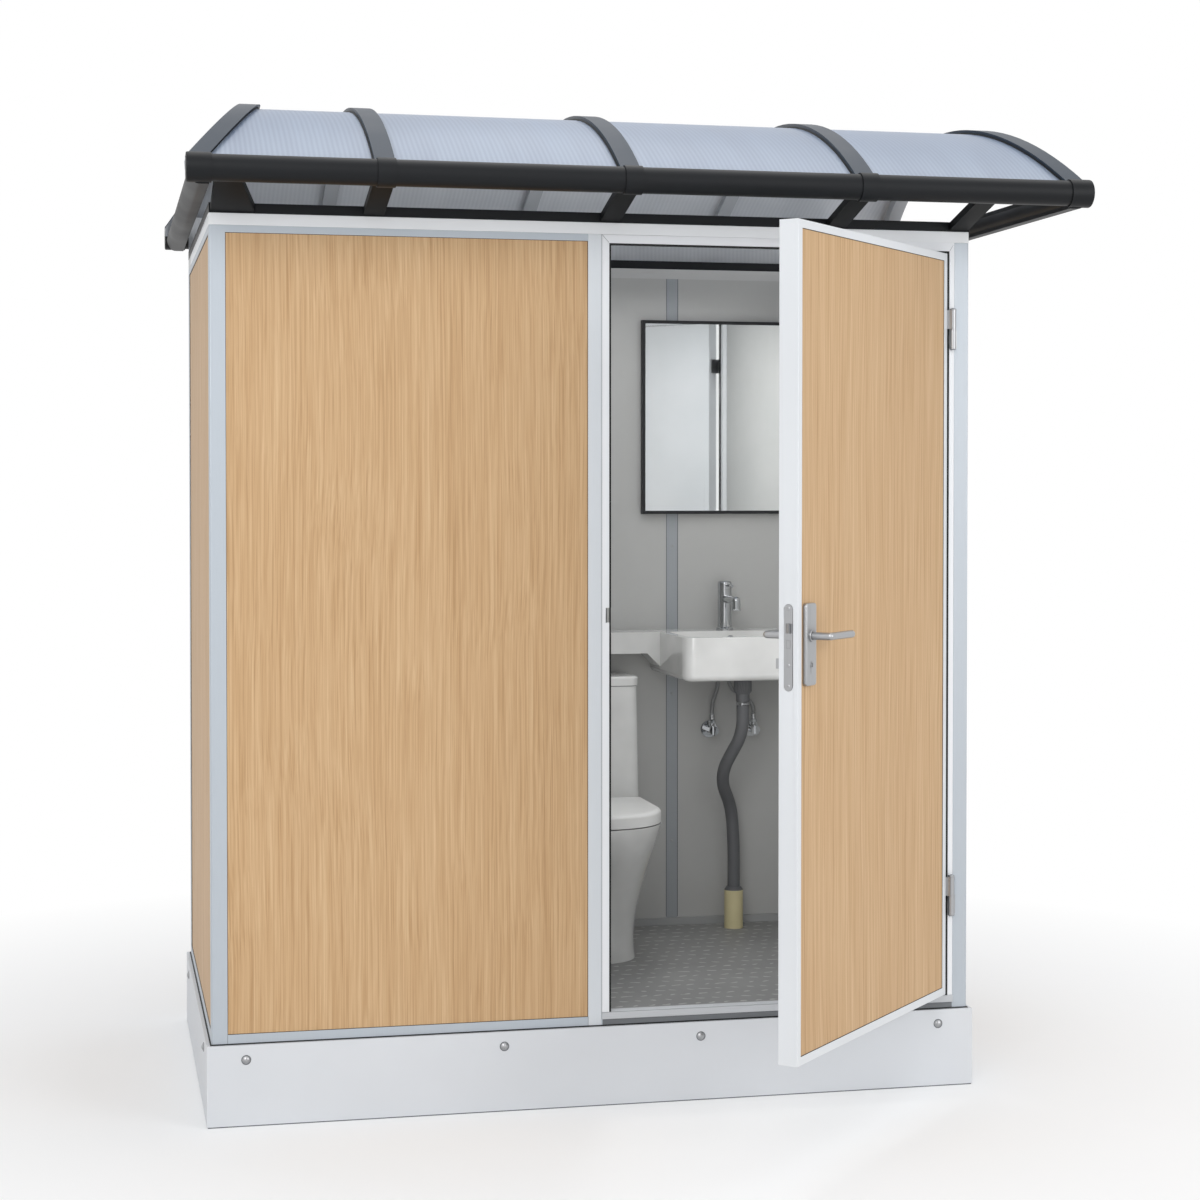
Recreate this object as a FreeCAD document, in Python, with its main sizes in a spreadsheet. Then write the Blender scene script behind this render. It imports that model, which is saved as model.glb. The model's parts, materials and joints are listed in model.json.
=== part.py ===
import FreeCAD, Part
import itertools
import math
import os
import re

import Sketcher
from FreeCAD import Placement, Rotation, Vector

# Modular outdoor bathroom unit: a cabin on a plinth with a hinged door, a vaulted roof and its fittings.
# Frame: millimetres, +Z up, origin on the ground at the middle of the cabin, front towards -Y.

SIZES = {
    # Cabin frame and wall panels
    "cabin_width": 2000,
    "cabin_depth": 1200,
    "frame_top": 2280,
    "post_size": 40,
    "post_round": 4,
    "top_rail_height": 30,
    "bottom_rail_height": 25,
    "bead_height": 18,
    "mullion_width": 36,
    "doorway_bay": 980,
    "rear_bay_right": 480,
    "rear_bay_middle": 720,
    "panel_recess": 3,
    "lining_thickness": 3,
    # Base, plinth and floor
    "plinth_height": 205,
    "plinth_sheet": 2,
    "plinth_proud": 12,
    "ground_gap": 3,
    "beam_width": 60,
    "beam_wall": 5,
    "cross_beam_spacing": 500,
    "middle_beam_from_toilet": 134,
    "deck_thickness": 30,
    "covering_thickness": 4,
    "skirting_height": 22,
    "skirting_depth": 12,
    "plinth_bolt_radius": 11,
    "plinth_bolt_height": 6,
    "plinth_bolt_from_corner": 85,
    "plinth_bolt_from_middle": 260,
    "side_bolt_from_middle": 450,
    "plinth_bolt_below_top": 37,
    # Doorway
    "lock_jamb": 20,
    "hinge_jamb": 14,
    "head_casing": 22,
    "sill_rail_height": 17,
    "sill_height": 18,
    "sill_nose": 3,
    "gasket_width": 5,
    "gasket_depth": 10,
    "gasket_set_back": 2,
    "strike_sheet": 1.5,
    "strike_margin": 8,
    "strike_depth": 9,
    "bolt_pocket_depth": 15,
    # Door leaf, hung open at door_angle
    "door_angle": 47,
    "door_gap": 3,
    "door_sill_gap": 6,
    "door_thickness": 50,
    "door_border": 20,
    "door_skin_recess": 2,
    "door_lining": 3,
    # Hinges
    "hinge_length": 100,
    "hinge_top_drop": 200,
    "hinge_bottom_rise": 264,
    "hinge_from_edge": 14,
    "hinge_stand_off": 10,
    "hinge_plate": 2.5,
    "hinge_plate_reach": 38,
    "knuckle_radius": 8.5,
    "knuckle_gap": 0.5,
    "hinge_pin_radius": 4,
    "hinge_pin_clearance": 0.05,
    # Mortice lock and handles
    "lever_height": 1250,
    "backset": 55,
    "faceplate_length": 202,
    "faceplate_width": 22,
    "faceplate_thickness": 3,
    "lock_drop": 26,
    "lock_case_depth": 90,
    "lock_case_height": 165,
    "lock_case_thickness": 15,
    "lock_fit": 1,
    "latch_height": 22,
    "latch_thickness": 12,
    "latch_length": 30,
    "latch_throw": 12,
    "latch_rise": 19,
    "bolt_height": 18,
    "bolt_thickness": 10,
    "bolt_length": 40,
    "bolt_throw": 20,
    "bolt_drop": 18,
    "slide_clearance": 0.4,
    "spindle_size": 8,
    "spindle_hole_radius": 6,
    "cylinder_drop": 68,
    "cylinder_radius": 8.5,
    "cylinder_fin_width": 10,
    "cylinder_fin_drop": 20,
    "cylinder_proud": 3,
    "cylinder_fit": 0.2,
    "handle_plate_length": 220,
    "handle_plate_width": 40,
    "handle_plate_thickness": 9,
    "handle_plate_drop": 20,
    "handle_plate_corner": 8,
    "lever_radius": 9,
    "lever_neck": 50,
    "lever_grip": 120,
    "turn_clearance": 0.1,
    "lever_hole_margin": 4,
    "thumb_turn_radius": 15,
    "thumb_turn_disc": 6,
    "thumb_turn_wing": 16,
    "thumb_turn_thickness": 7,
    "thumb_turn_gap": 0.3,
    # Roof
    "roof_front": 250,
    "roof_rear": 100,
    "roof_left": 66,
    "roof_right": 232,
    "eave_rise": 76,
    "roof_rise": 248,
    "rake_left": 160,
    "rake_right": 60,
    "roof_rail_height": 25,
    "tube_radius": 32.5,
    "tube_wall": 3,
    "sleeve_radius": 36,
    "collar_length": 45,
    "cap_length": 60,
    "cap_end": 6,
    "cap_round": 4,
    "weld_gap": 0.2,
    "rib_offset": 40,
    "rib_spacing": 610,
    "rib_width": 40,
    "rib_height": 22,
    "sheet_thickness": 8,
    "sheet_set_in": 5,
    "strap_width": 50,
    "strap_height": 12,
    "end_bar_height": 56,
    "end_bar_width": 50,
    "end_bar_drop": 11,
    "strut_width": 52,
    "strut_height": 20,
    "corner_strut_inset": 30,
    "gusset_width": 110,
    # One-piece toilet
    "toilet_from_mullion": 154,
    "toilet_wall_gap": 15,
    "toilet_length": 660,
    "rim_height": 400,
    "rim_width": 370,
    "foot_width": 244,
    "foot_flare": 6,
    "foot_set_back": 120,
    "waist_height": 100,
    "cistern_width": 396,
    "cistern_top_width": 380,
    "cistern_depth": 190,
    "cistern_height": 765,
    "cistern_corner": 28,
    "cistern_lid_height": 28,
    "cistern_lid_gap": 2,
    "cistern_lid_inset": 8,
    "cistern_lid_lip": 4,
    "cistern_lid_round": 8,
    "bowl_length": 300,
    "bowl_width": 230,
    "bowl_depth": 210,
    "bowl_set_back": 40,
    "seat_thickness": 18,
    "seat_gap": 3,
    "seat_inset": 2,
    "seat_ring": 62,
    "lid_thickness": 18,
    "lid_gap": 2,
    "lid_round": 12,
    "lid_skirt": 4,
    "lid_skirt_fit": 1.5,
    "seat_axis_from_cistern": 54,
    "seat_axis_margin": 14,
    "seat_rod_radius": 4,
    "seat_rod_clearance": 0.05,
    "seat_ear_radius": 8,
    "seat_post_inner": 60,
    "seat_post_width": 20,
    "seat_ear_width": 18,
    "seat_ear_gap": 2,
    "button_radius": 22,
    "button_clearance": 0.3,
    "button_split": 1,
    "button_height": 6,
    "button_proud": 2,
    "button_well": 11,
    "soil_pipe_radius": 58,
    "soil_pipe_wall": 7,
    "soil_pipe_length": 170,
    "soil_pipe_spigot_radius": 55,
    "soil_pipe_spigot_length": 100,
    "pipe_hole_clearance": 0.5,
    # Basin, tap and plumbing
    "basin_from_side": 325,
    "basin_width": 450,
    "basin_reach": 430,
    "basin_height": 130,
    "basin_rim": 923,
    "basin_corner": 36,
    "basin_foot_round": 18,
    "basin_wall": 25,
    "basin_floor": 22,
    "basin_taper": 25,
    "basin_bowl_corner": 45,
    "shelf_depth": 130,
    "shelf_height": 65,
    "shelf_gusset": 40,
    "tap_deck": 115,
    "tap_from_wall": 55,
    "tap_base_radius": 27,
    "tap_base_height": 5,
    "tap_radius": 22,
    "tap_height": 126,
    "spout_radius": 13,
    "spout_reach": 130,
    "spout_height": 96,
    "tap_stem_radius": 9,
    "tap_stem_depth": 12,
    "tap_stem_lug": 6,
    "tap_cap_height": 26,
    "tap_cap_gap": 0.3,
    "tap_lift": 20,
    "tap_pin_radius": 4,
    "tap_pin_reach": 86,
    "tap_pivot_radius": 2,
    "tap_pivot_length": 38,
    "waste_hole_radius": 20,
    "waste_fit": 0.3,
    "waste_flange_radius": 31,
    "waste_flange": 3,
    "waste_bore_radius": 15,
    "waste_nut_radius": 25,
    "waste_nut_height": 40,
    "waste_tail": 70,
    "plug_radius": 20,
    "plug_height": 4,
    "plug_stem_radius": 4,
    "plug_stem_length": 30,
    "plug_web": 8,
    "hose_radius": 19,
    "hose_wall": 2.5,
    "hose_tail_run": 100,
    "hose_bow": 50,
    "hose_bow_step": 85,
    "hose_bow_drop": 240,
    "hose_entry": 10,
    "hose_entry_high": 265,
    "hose_entry_low": 150,
    "stub_offset": 20,
    "stub_from_wall": 90,
    "stub_radius": 29,
    "stub_wall": 6,
    "stub_height": 118,
    "stub_length": 300,
    "stub_spigot_radius": 25,
    "stub_spigot_length": 100,
    "reducer_height": 10,
    "valve_offset": 30,
    "valve_spacing": 134,
    "valve_height": 610,
    "valve_flange_radius": 26,
    "valve_flange": 8,
    "valve_radius": 11,
    "valve_reach": 60,
    "valve_outlet_radius": 8,
    "valve_outlet_height": 32,
    "valve_outlet_from_wall": 42,
    "knob_radius": 14,
    "knob_depth": 20,
    "knob_spindle_radius": 4,
    "knob_gap": 0.3,
    "supply_radius": 6,
    "supply_spacing": 36,
    # Mirror
    "mirror_width": 510,
    "mirror_height": 600,
    "mirror_bottom": 1283,
    "mirror_frame_width": 10,
    "mirror_frame_depth": 20,
    "mirror_glass": 5,
    "mirror_set_back": 2,
}

# Places worked out from the sizes, each from those above it.
PLACES = {
    "half_width": "cabin_width / 2",
    "half_depth": "cabin_depth / 2",
    "inner_x": "half_width - post_size",
    "inner_y": "half_depth - post_size",
    "front_mullion": "inner_x - doorway_bay",
    "rear_mullion_right": "inner_x - rear_bay_right",
    "rear_mullion_left": "rear_mullion_right - rear_bay_middle",
    "toilet_x": "front_mullion + toilet_from_mullion",
    "basin_x": "inner_x - basin_from_side",
    "stub_x": "basin_x + stub_offset",
    "middle_beam": "toilet_x - middle_beam_from_toilet",
    "beam_top": "plinth_height - plinth_sheet",
    "beam_out_x": "half_width + plinth_proud - plinth_sheet",
    "beam_out_y": "half_depth + plinth_proud - plinth_sheet",
    "deck_top": "beam_top + deck_thickness",
    "floor_top": "deck_top + covering_thickness",
    "rail_bottom": "frame_top - top_rail_height",
    "panel_bottom": "plinth_height + bottom_rail_height",
    "panel_top": "rail_bottom - bead_height",
    "mullion_left": "front_mullion - mullion_width / 2",
    "mullion_right": "front_mullion + mullion_width / 2",
    "dome_radius": "(plinth_bolt_radius ^ 2 + plinth_bolt_height ^ 2) / (2 * plinth_bolt_height)",
    "dome_latitude": "asin(1 - plinth_bolt_height / dome_radius)",
    "opening_left": "mullion_right + lock_jamb",
    "opening_right": "inner_x - hinge_jamb",
    "opening_top": "rail_bottom - head_casing",
    "sill_bottom": "plinth_height + sill_rail_height",
    "sill_top": "sill_bottom + sill_height",
    "leaf_left": "opening_left + gasket_width + door_gap",
    "leaf_right": "opening_right - gasket_width - door_gap",
    "leaf_bottom": "sill_top + door_sill_gap",
    "leaf_top": "opening_top - gasket_width - door_gap",
    "leaf_front": "-half_depth",
    "leaf_back": "leaf_front + door_thickness",
    "leaf_middle": "leaf_front + door_thickness / 2",
    "skin_front": "leaf_front + door_skin_recess",
    "skin_back": "leaf_back - door_skin_recess",
    "hinge_top_height": "leaf_top - hinge_top_drop",
    "hinge_bottom_height": "leaf_bottom + hinge_bottom_rise",
    "hinge_x": "leaf_right + hinge_from_edge",
    "hinge_y": "leaf_front - hinge_stand_off",
    "door_shift_x": "hinge_x - hinge_x * cos(door_angle) + hinge_y * sin(door_angle)",
    "door_shift_y": "hinge_y - hinge_x * sin(door_angle) - hinge_y * cos(door_angle)",
    "lever_x": "leaf_left + backset",
    "lock_middle": "lever_height - lock_drop",
    "latch_z": "lever_height + latch_rise",
    "bolt_z": "lever_height - bolt_drop",
    "cylinder_z": "lever_height - cylinder_drop",
    "plate_middle": "lever_height - handle_plate_drop",
    "tube_z": "frame_top + eave_rise",
    "front_tube_y": "-half_depth - roof_front",
    "rear_tube_y": "half_depth + roof_rear",
    "roof_chord": "rear_tube_y - front_tube_y",
    "roof_middle": "(front_tube_y + rear_tube_y) / 2",
    "roof_radius": "(roof_chord ^ 2 / 4 + roof_rise ^ 2) / (2 * roof_rise)",
    "roof_axis_z": "tube_z + roof_rise - roof_radius",
    "roof_half_angle": "asin(roof_chord / 2 / roof_radius)",
    "rib_outer": "roof_radius - sheet_thickness / 2",
    "rib_inner": "rib_outer - rib_height",
    "strap_inner": "roof_radius + sheet_thickness / 2",
    "strap_outer": "strap_inner + strap_height",
    "roof_low_x": "-half_width - roof_left",
    "roof_high_x": "half_width + roof_right",
    "first_rib": "roof_low_x + cap_length / 2",
    "last_rib": "roof_high_x - cap_length / 2",
    "third_rib": "front_mullion + rib_offset",
    "second_rib": "third_rib - rib_spacing",
    "fourth_rib": "third_rib + rib_spacing",
    "rake_foot": "tube_z + sleeve_radius",
    "rake_top": "tube_z + roof_rise + 2 * strap_height",
    "left_rake_slope": "rake_left / (roof_rise - sleeve_radius)",
    "right_rake_slope": "-rake_right / (roof_rise - sleeve_radius)",
    "roof_rail_top": "frame_top + roof_rail_height",
    "toilet_back": "inner_y - toilet_wall_gap",
    "toilet_front": "toilet_back - toilet_length",
    "rim_top": "floor_top + rim_height",
    "cistern_front": "toilet_back - cistern_depth",
    "cistern_top": "floor_top + cistern_height",
    "cistern_lid_top": "cistern_top + cistern_lid_gap + cistern_lid_height",
    "seat_bottom": "rim_top + seat_gap",
    "seat_top": "seat_bottom + seat_thickness",
    "lid_bottom": "seat_top + lid_gap",
    "seat_axis_y": "cistern_front - seat_axis_from_cistern",
    "seat_axis_z": "seat_top + lid_gap / 2",
    "seat_back": "seat_axis_y - seat_axis_margin",
    "button_y": "(cistern_front + toilet_back) / 2",
    "rim_z": "floor_top + basin_rim",
    "basin_bottom": "rim_z - basin_height",
    "basin_front": "inner_y - basin_reach",
    "bowl_front_y": "basin_front + basin_wall",
    "bowl_back_y": "inner_y - tap_deck",
    "drain_y": "(bowl_front_y + bowl_back_y) / 2",
    "drain_z": "basin_bottom + basin_floor",
    "tap_y": "inner_y - tap_from_wall",
    "tap_top": "rim_z + tap_height",
    "tap_pivot_z": "tap_top + tap_stem_radius / 2",
    "tail_bottom": "basin_bottom - waste_tail",
    "stub_y": "inner_y - stub_from_wall",
    "stub_top": "floor_top + stub_height",
    "valve_z": "floor_top + valve_height",
    "outlet_y": "inner_y - valve_outlet_from_wall",
    "mirror_z": "floor_top + mirror_bottom",
}

AXIS_TURNS = {
    "+X": Rotation(Vector(0, 1, 0), 90),
    "+Y": Rotation(Vector(1, 0, 0), -90),
    "-Y": Rotation(Vector(1, 0, 0), 90),
    "+Z": Rotation(),
}

doc = FreeCAD.newDocument("bathroom_unit")
subparts = []


def scoped(text, own_names=()):
    """The formula with the sheet's name put before each named size or place."""

    def with_sheet(match):
        word = match.group(0)
        if word in own_names:
            return word
        if word in SIZES:
            return "Sizes." + word
        if word in PLACES:
            return "Places." + word
        return word

    return re.sub(r"[a-z][a-z0-9_]*", with_sheet, str(text))


def make_sheet(name, cells):
    """A sheet with one alias for each named cell."""
    sheet = doc.addObject("Spreadsheet::Sheet", name)
    for row, (alias, content) in enumerate(cells.items(), start=1):
        sheet.set(f"A{row}", alias)
        sheet.set(f"B{row}", content)
        sheet.setAlias(f"B{row}", alias)
    doc.recompute()
    return sheet


make_sheet("Sizes", {alias: str(size) for alias, size in SIZES.items()})
make_sheet("Places", {alias: "=" + scoped(text, PLACES) for alias, text in PLACES.items()})
workings = doc.addObject("Spreadsheet::Sheet", "Workings")


def number(text):
    """The value of a formula of named sizes and places."""
    workings.set("A1", "=" + scoped(text))
    workings.recompute()
    found = workings.get("A1")
    return float(getattr(found, "Value", found))


def point(x, y, z):
    return Vector(number(x), number(y), number(z))


def bind(item, prop, text):
    item.setExpression(prop, scoped(text))


def put(item, x, y, z):
    """Binds an object's place to three formulas."""
    for axis, text in (("x", x), ("y", y), ("z", z)):
        bind(item, "Placement.Base." + axis, text)
    return item


def flip(span):
    """A span of formulas mirrored about zero."""
    low, high = span
    return (f"-({high})", f"-({low})")


def about(middle, width):
    """The span of a given width about a middle."""
    return (f"({middle}) - ({width}) / 2", f"({middle}) + ({width}) / 2")


def block(name, xs, ys, zs):
    """A box from its three spans."""
    item = doc.addObject("Part::Box", name)
    for size, (low, high) in (("Length", xs), ("Width", ys), ("Height", zs)):
        bind(item, size, f"({high}) - ({low})")
    return put(item, xs[0], ys[0], zs[0])


def rod(name, radius, along, start, length):
    """A round bar from its start along an axis."""
    item = doc.addObject("Part::Cylinder", name)
    bind(item, "Radius", radius)
    bind(item, "Height", length)
    item.Placement = Placement(Vector(), AXIS_TURNS[along])
    return put(item, *start)


def ball(name, radius, x, y, z):
    item = doc.addObject("Part::Sphere", name)
    bind(item, "Radius", radius)
    return put(item, x, y, z)


def group(name, items):
    item = doc.addObject("Part::Compound", name)
    item.Links = list(items)
    return item


def cut(name, base, *tools):
    """The base with each tool taken out. The tools stand clear of each other."""
    item = doc.addObject("Part::Cut", name)
    item.Base = base
    item.Tool = tools[0] if len(tools) == 1 else group(name + "_tools", tools)
    return item


def common(name, base, tool):
    item = doc.addObject("Part::Common", name)
    item.Base = base
    item.Tool = tool
    return item


def join(name, *items):
    item = doc.addObject("Part::MultiFuse", name)
    item.Shapes = list(items)
    item.Refine = True
    return item


def rounded(name, base, radius, picks):
    """The base with the edges that picks accepts rounded."""
    doc.recompute()
    size = number(radius)
    item = doc.addObject("Part::Fillet", name)
    item.Base = base
    edges = enumerate(base.Shape.Edges, start=1)
    item.Edges = [(index, size, size) for index, edge in edges if picks(edge)]
    return item


def runs_along(edge, axis):
    """Whether a straight edge lies along an axis."""
    first, last = edge.Vertexes[0].Point, edge.Vertexes[-1].Point
    step = last - first
    return step.Length > 1e-6 and abs(abs(step.normalize() * axis) - 1) < 1e-6


def upright(edge):
    return runs_along(edge, Vector(0, 0, 1))


def sketch_outline(body, name, plane, corners):
    """A fully constrained polygon on one of the body's own planes, its corners given as formulas."""
    sketch = body.newObject("Sketcher::SketchObject", name)
    role = next(f for f in body.Origin.OriginFeatures if f.Role == plane)
    sketch.AttachmentSupport = [(role, "")]
    sketch.MapMode = "FlatFace"
    spots = [Vector(number(u), number(v), 0) for u, v in corners]
    count = len(spots)
    for i in range(count):
        sketch.addGeometry(Part.LineSegment(spots[i], spots[(i + 1) % count]))
    for i in range(count):
        sketch.addConstraint(Sketcher.Constraint("Coincident", i, 2, (i + 1) % count, 1))
    for i, (u, v) in enumerate(corners):
        for kind, text, value in (("DistanceX", u, spots[i].x), ("DistanceY", v, spots[i].y)):
            index = sketch.addConstraint(Sketcher.Constraint(kind, -1, 1, i, 1, value))
            sketch.setExpression(f"Constraints[{index}]", scoped(text))
    return sketch


def prism(name, plane, corners, depth, base=("0", "0", "0")):
    """A padded polygon: on XZ_Plane it grows towards +Y, on YZ_Plane towards +X, on XY_Plane upwards."""
    body = doc.addObject("PartDesign::Body", name)
    pad = body.newObject("PartDesign::Pad", name + "_pad")
    pad.Profile = sketch_outline(body, name + "_sketch", plane, corners)
    pad.Reversed = plane == "XZ_Plane"
    bind(pad, "Length", depth)
    body.Tip = pad
    return put(body, *base)


def turned(name, corners, base):
    """A turned body: a polygon of radii and heights revolved about its own Z axis."""
    body = doc.addObject("PartDesign::Body", name)
    sketch = sketch_outline(body, name + "_sketch", "XZ_Plane", corners)
    turn = body.newObject("PartDesign::Revolution", name + "_turn")
    turn.Profile = sketch
    turn.ReferenceAxis = (sketch, ["V_Axis"])
    turn.Angle = 360
    body.Tip = turn
    return put(body, *base)


def shaped(name, shape):
    """An object that holds a shape made from the sheets' values."""
    item = doc.addObject("Part::Feature", name)
    item.Shape = shape
    item.Placement = Placement()
    return item


def keep(label, *items):
    """Names a sub-part. Several solids share one node as a group."""
    item = items[0] if len(items) == 1 else group(label + "_group", items)
    item.Label = label
    subparts.append(item)
    return item


def keep_on_door(label, *items):
    """Names a sub-part that is drawn on the closed door and swung open about the hinge axis."""
    item = group(label + "_group", items)
    item.Placement = Placement(Vector(), Rotation(Vector(0, 0, 1), number("door_angle")))
    bind(item, "Placement.Rotation.Angle", "door_angle")
    put(item, "door_shift_x", "door_shift_y", "0")
    item.Label = label
    subparts.append(item)
    return item


# Base, plinth and floor

WALL_X = ("inner_x", "half_width")
WALL_Y = ("inner_y", "half_depth")
FULL_X = ("-half_width", "half_width")
INSIDE_X = ("-inner_x", "inner_x")
INSIDE_Y = ("-inner_y", "inner_y")


def make_base():
    """Steel channels on the ground: two along the front and back, and cross channels between them."""
    beams = []
    web = ("beam_wall", "beam_top - beam_wall")
    for side, place in (("front", flip), ("back", tuple)):
        shell = block(
            f"{side}_beam_shell",
            ("-beam_out_x", "beam_out_x"),
            place(("beam_out_y - beam_width", "beam_out_y")),
            ("0", "beam_top"),
        )
        hollow = block(
            f"{side}_beam_hollow",
            ("-beam_out_x", "beam_out_x"),
            place(("beam_out_y - beam_width", "beam_out_y - beam_wall")),
            web,
        )
        beams.append(cut(f"{side}_beam", shell, hollow))
    end = "beam_out_x - beam_width / 2"
    middles = [f"-({end})", "middle_beam - cross_beam_spacing", "middle_beam"]
    middles += ["middle_beam + cross_beam_spacing", end]
    for i, middle in enumerate(middles):
        low, high = about(middle, "beam_width")
        ys = flip(("-(beam_out_y - beam_width)", "beam_out_y - beam_width"))
        shell = block(f"cross_beam_shell_{i}", (low, high), ys, ("0", "beam_top"))
        open_side = (f"{low} + beam_wall", high)
        if i == len(middles) - 1:
            open_side = (low, f"{high} - beam_wall")
        hollow = block(f"cross_beam_hollow_{i}", open_side, ys, web)
        beams.append(cut(f"cross_beam_{i}", shell, hollow))
    keep("base_beams", *beams)


def make_plinth():
    """Folded sheet skirts round the base, with domed bolts."""
    out_x = "half_width + plinth_proud"
    out_y = "half_depth + plinth_proud"
    lip = [("ground_gap", out_y), ("plinth_height", out_y), ("plinth_height", "inner_y")]
    lip += [("beam_top", "inner_y"), ("beam_top", "beam_out_y"), ("ground_gap", "beam_out_y")]
    skirts = []
    for side, sign in (("front", "-"), ("back", "")):
        corners = [(f"{sign}({y})", z) for z, y in lip]
        skirts.append(prism(f"{side}_skirt", "YZ_Plane", corners, f"2 * ({out_x})", (f"-({out_x})", "0", "0")))
    for side, place in (("left", flip), ("right", tuple)):
        sheet = block(
            f"{side}_skirt_sheet",
            place(("beam_out_x", out_x)),
            ("-beam_out_y", "beam_out_y"),
            ("ground_gap", "beam_top"),
        )
        fold = block(f"{side}_skirt_fold", place(("inner_x", out_x)), INSIDE_Y, ("beam_top", "plinth_height"))
        skirts.append(join(f"{side}_skirt", sheet, fold))
    keep("plinth_skirts", *skirts)
    make_plinth_bolts(out_x, out_y)


def make_plinth_bolts(out_x, out_y):
    sunk = "dome_radius - plinth_bolt_height"
    height = "plinth_height - plinth_bolt_below_top"
    end = "half_width - plinth_bolt_from_corner"
    long_places = [f"-({end})", "-plinth_bolt_from_middle", "plinth_bolt_from_middle", end]
    side_places = ["-side_bolt_from_middle", "side_bolt_from_middle"]
    spots = []
    for x in long_places:
        spots.append((Rotation(Vector(1, 0, 0), 90), x, f"-({out_y}) + {sunk}"))
        spots.append((Rotation(Vector(1, 0, 0), -90), x, f"{out_y} - ({sunk})"))
    for y in side_places:
        spots.append((Rotation(Vector(0, 1, 0), -90), f"-({out_x}) + {sunk}", y))
        spots.append((Rotation(Vector(0, 1, 0), 90), f"{out_x} - ({sunk})", y))
    bolts = []
    for i, (turn, x, y) in enumerate(spots):
        dome = doc.addObject("Part::Sphere", f"plinth_bolt_{i}")
        bind(dome, "Radius", "dome_radius")
        bind(dome, "Angle1", "dome_latitude")
        dome.Placement = Placement(Vector(), turn)
        bolts.append(put(dome, x, y, height))
    keep("plinth_bolts", *bolts)


def make_floor():
    """Deck and covering, both holed for the two waste pipes, and the skirting round the room."""
    for label, low, high in (
        ("floor_deck", "beam_top", "deck_top"),
        ("floor_covering", "deck_top", "floor_top"),
    ):
        slab = block(label + "_slab", INSIDE_X, INSIDE_Y, (low, high))
        stub = rod(
            label + "_stub_hole",
            "stub_radius + pipe_hole_clearance",
            "+Z",
            ("stub_x", "stub_y", low),
            f"({high}) - ({low})",
        )
        soil = rod(
            label + "_soil_hole",
            "soil_pipe_radius + pipe_hole_clearance",
            "+Z",
            ("toilet_x", "button_y", low),
            f"({high}) - ({low})",
        )
        keep(label, cut(label + "_holed", slab, stub, soil))
    height = ("floor_top", "floor_top + skirting_height")
    rear = block("rear_skirting", INSIDE_X, ("inner_y - skirting_depth", "inner_y"), height)
    side_y = ("-inner_y", "inner_y - skirting_depth")
    right = block("right_skirting", ("inner_x - skirting_depth", "inner_x"), side_y, height)
    left = block("left_skirting", flip(("inner_x - skirting_depth", "inner_x")), side_y, height)
    front = block(
        "front_skirting",
        ("-inner_x + skirting_depth", "mullion_right"),
        flip(("inner_y - skirting_depth", "inner_y")),
        height,
    )
    keep("floor_skirting", rear, right, left, front)


# Walls

REAR_BAYS = [
    ("-inner_x", "rear_mullion_left - mullion_width / 2"),
    ("rear_mullion_left + mullion_width / 2", "rear_mullion_right - mullion_width / 2"),
    ("rear_mullion_right + mullion_width / 2", "inner_x"),
]
FRONT_BAY = ("-inner_x", "mullion_left")


def wall_slabs(name, depth, height):
    """One slab for each wall bay: front, both sides and the rear bays. Depth is a span out from the room."""
    low, high = depth
    out_x = (f"inner_x + {low}", f"inner_x + {high}")
    out_y = (f"inner_y + {low}", f"inner_y + {high}")
    slabs = [block(name + "_front", FRONT_BAY, flip(out_y), height)]
    slabs.append(block(name + "_left", flip(out_x), INSIDE_Y, height))
    slabs.append(block(name + "_right", out_x, INSIDE_Y, height))
    for i, bay in enumerate(REAR_BAYS):
        slabs.append(block(f"{name}_rear_{i}", bay, out_y, height))
    return slabs


def make_frame():
    """Corner posts, mullions and rails of aluminium profile."""
    posts = []
    corners = itertools.product((WALL_X, flip(WALL_X)), (WALL_Y, flip(WALL_Y)))
    for i, (xs, ys) in enumerate(corners):
        post = block(f"post_{i}", xs, ys, ("plinth_height", "rail_bottom"))
        doc.recompute()
        outer = max(abs(corner.Point.x) + abs(corner.Point.y) for corner in post.Shape.Vertexes)

        def on_outer_corner(edge, outer=outer):
            middle = edge.CenterOfMass
            return upright(edge) and abs(middle.x) + abs(middle.y) > outer - 1

        posts.append(rounded(f"post_rounded_{i}", post, "post_round", on_outer_corner))
    keep("corner_posts", *posts)
    stands = ("panel_bottom", "rail_bottom")
    keep(
        "wall_mullions",
        block("front_post", ("mullion_left", "mullion_right"), flip(WALL_Y), ("plinth_height", "rail_bottom")),
        block("rear_post_left", about("rear_mullion_left", "mullion_width"), WALL_Y, stands),
        block("rear_post_right", about("rear_mullion_right", "mullion_width"), WALL_Y, stands),
    )
    low = ("plinth_height", "panel_bottom")
    keep(
        "bottom_rails",
        block("front_bottom_rail", FRONT_BAY, flip(WALL_Y), low),
        block("sill_rail", ("mullion_right", "inner_x"), flip(WALL_Y), ("plinth_height", "sill_bottom")),
        block("rear_bottom_rail", INSIDE_X, WALL_Y, low),
        block("left_bottom_rail", flip(WALL_X), INSIDE_Y, low),
        block("right_bottom_rail", WALL_X, INSIDE_Y, low),
    )
    high = ("rail_bottom", "frame_top")
    keep(
        "top_rails",
        block("front_top_rail", FULL_X, flip(WALL_Y), high),
        block("rear_top_rail", FULL_X, WALL_Y, high),
        block("left_top_rail", flip(WALL_X), INSIDE_Y, high),
        block("right_top_rail", WALL_X, INSIDE_Y, high),
    )


def make_walls():
    skin = ("lining_thickness", "post_size - panel_recess")
    keep("panel_beads", *wall_slabs("bead", ("lining_thickness", "post_size"), ("panel_top", "rail_bottom")))
    keep("wall_panels", *wall_slabs("panel", skin, ("panel_bottom", "panel_top")))
    keep("wall_linings", *wall_slabs("lining", ("0", "lining_thickness"), ("panel_bottom", "rail_bottom")))


# Doorway

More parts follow.
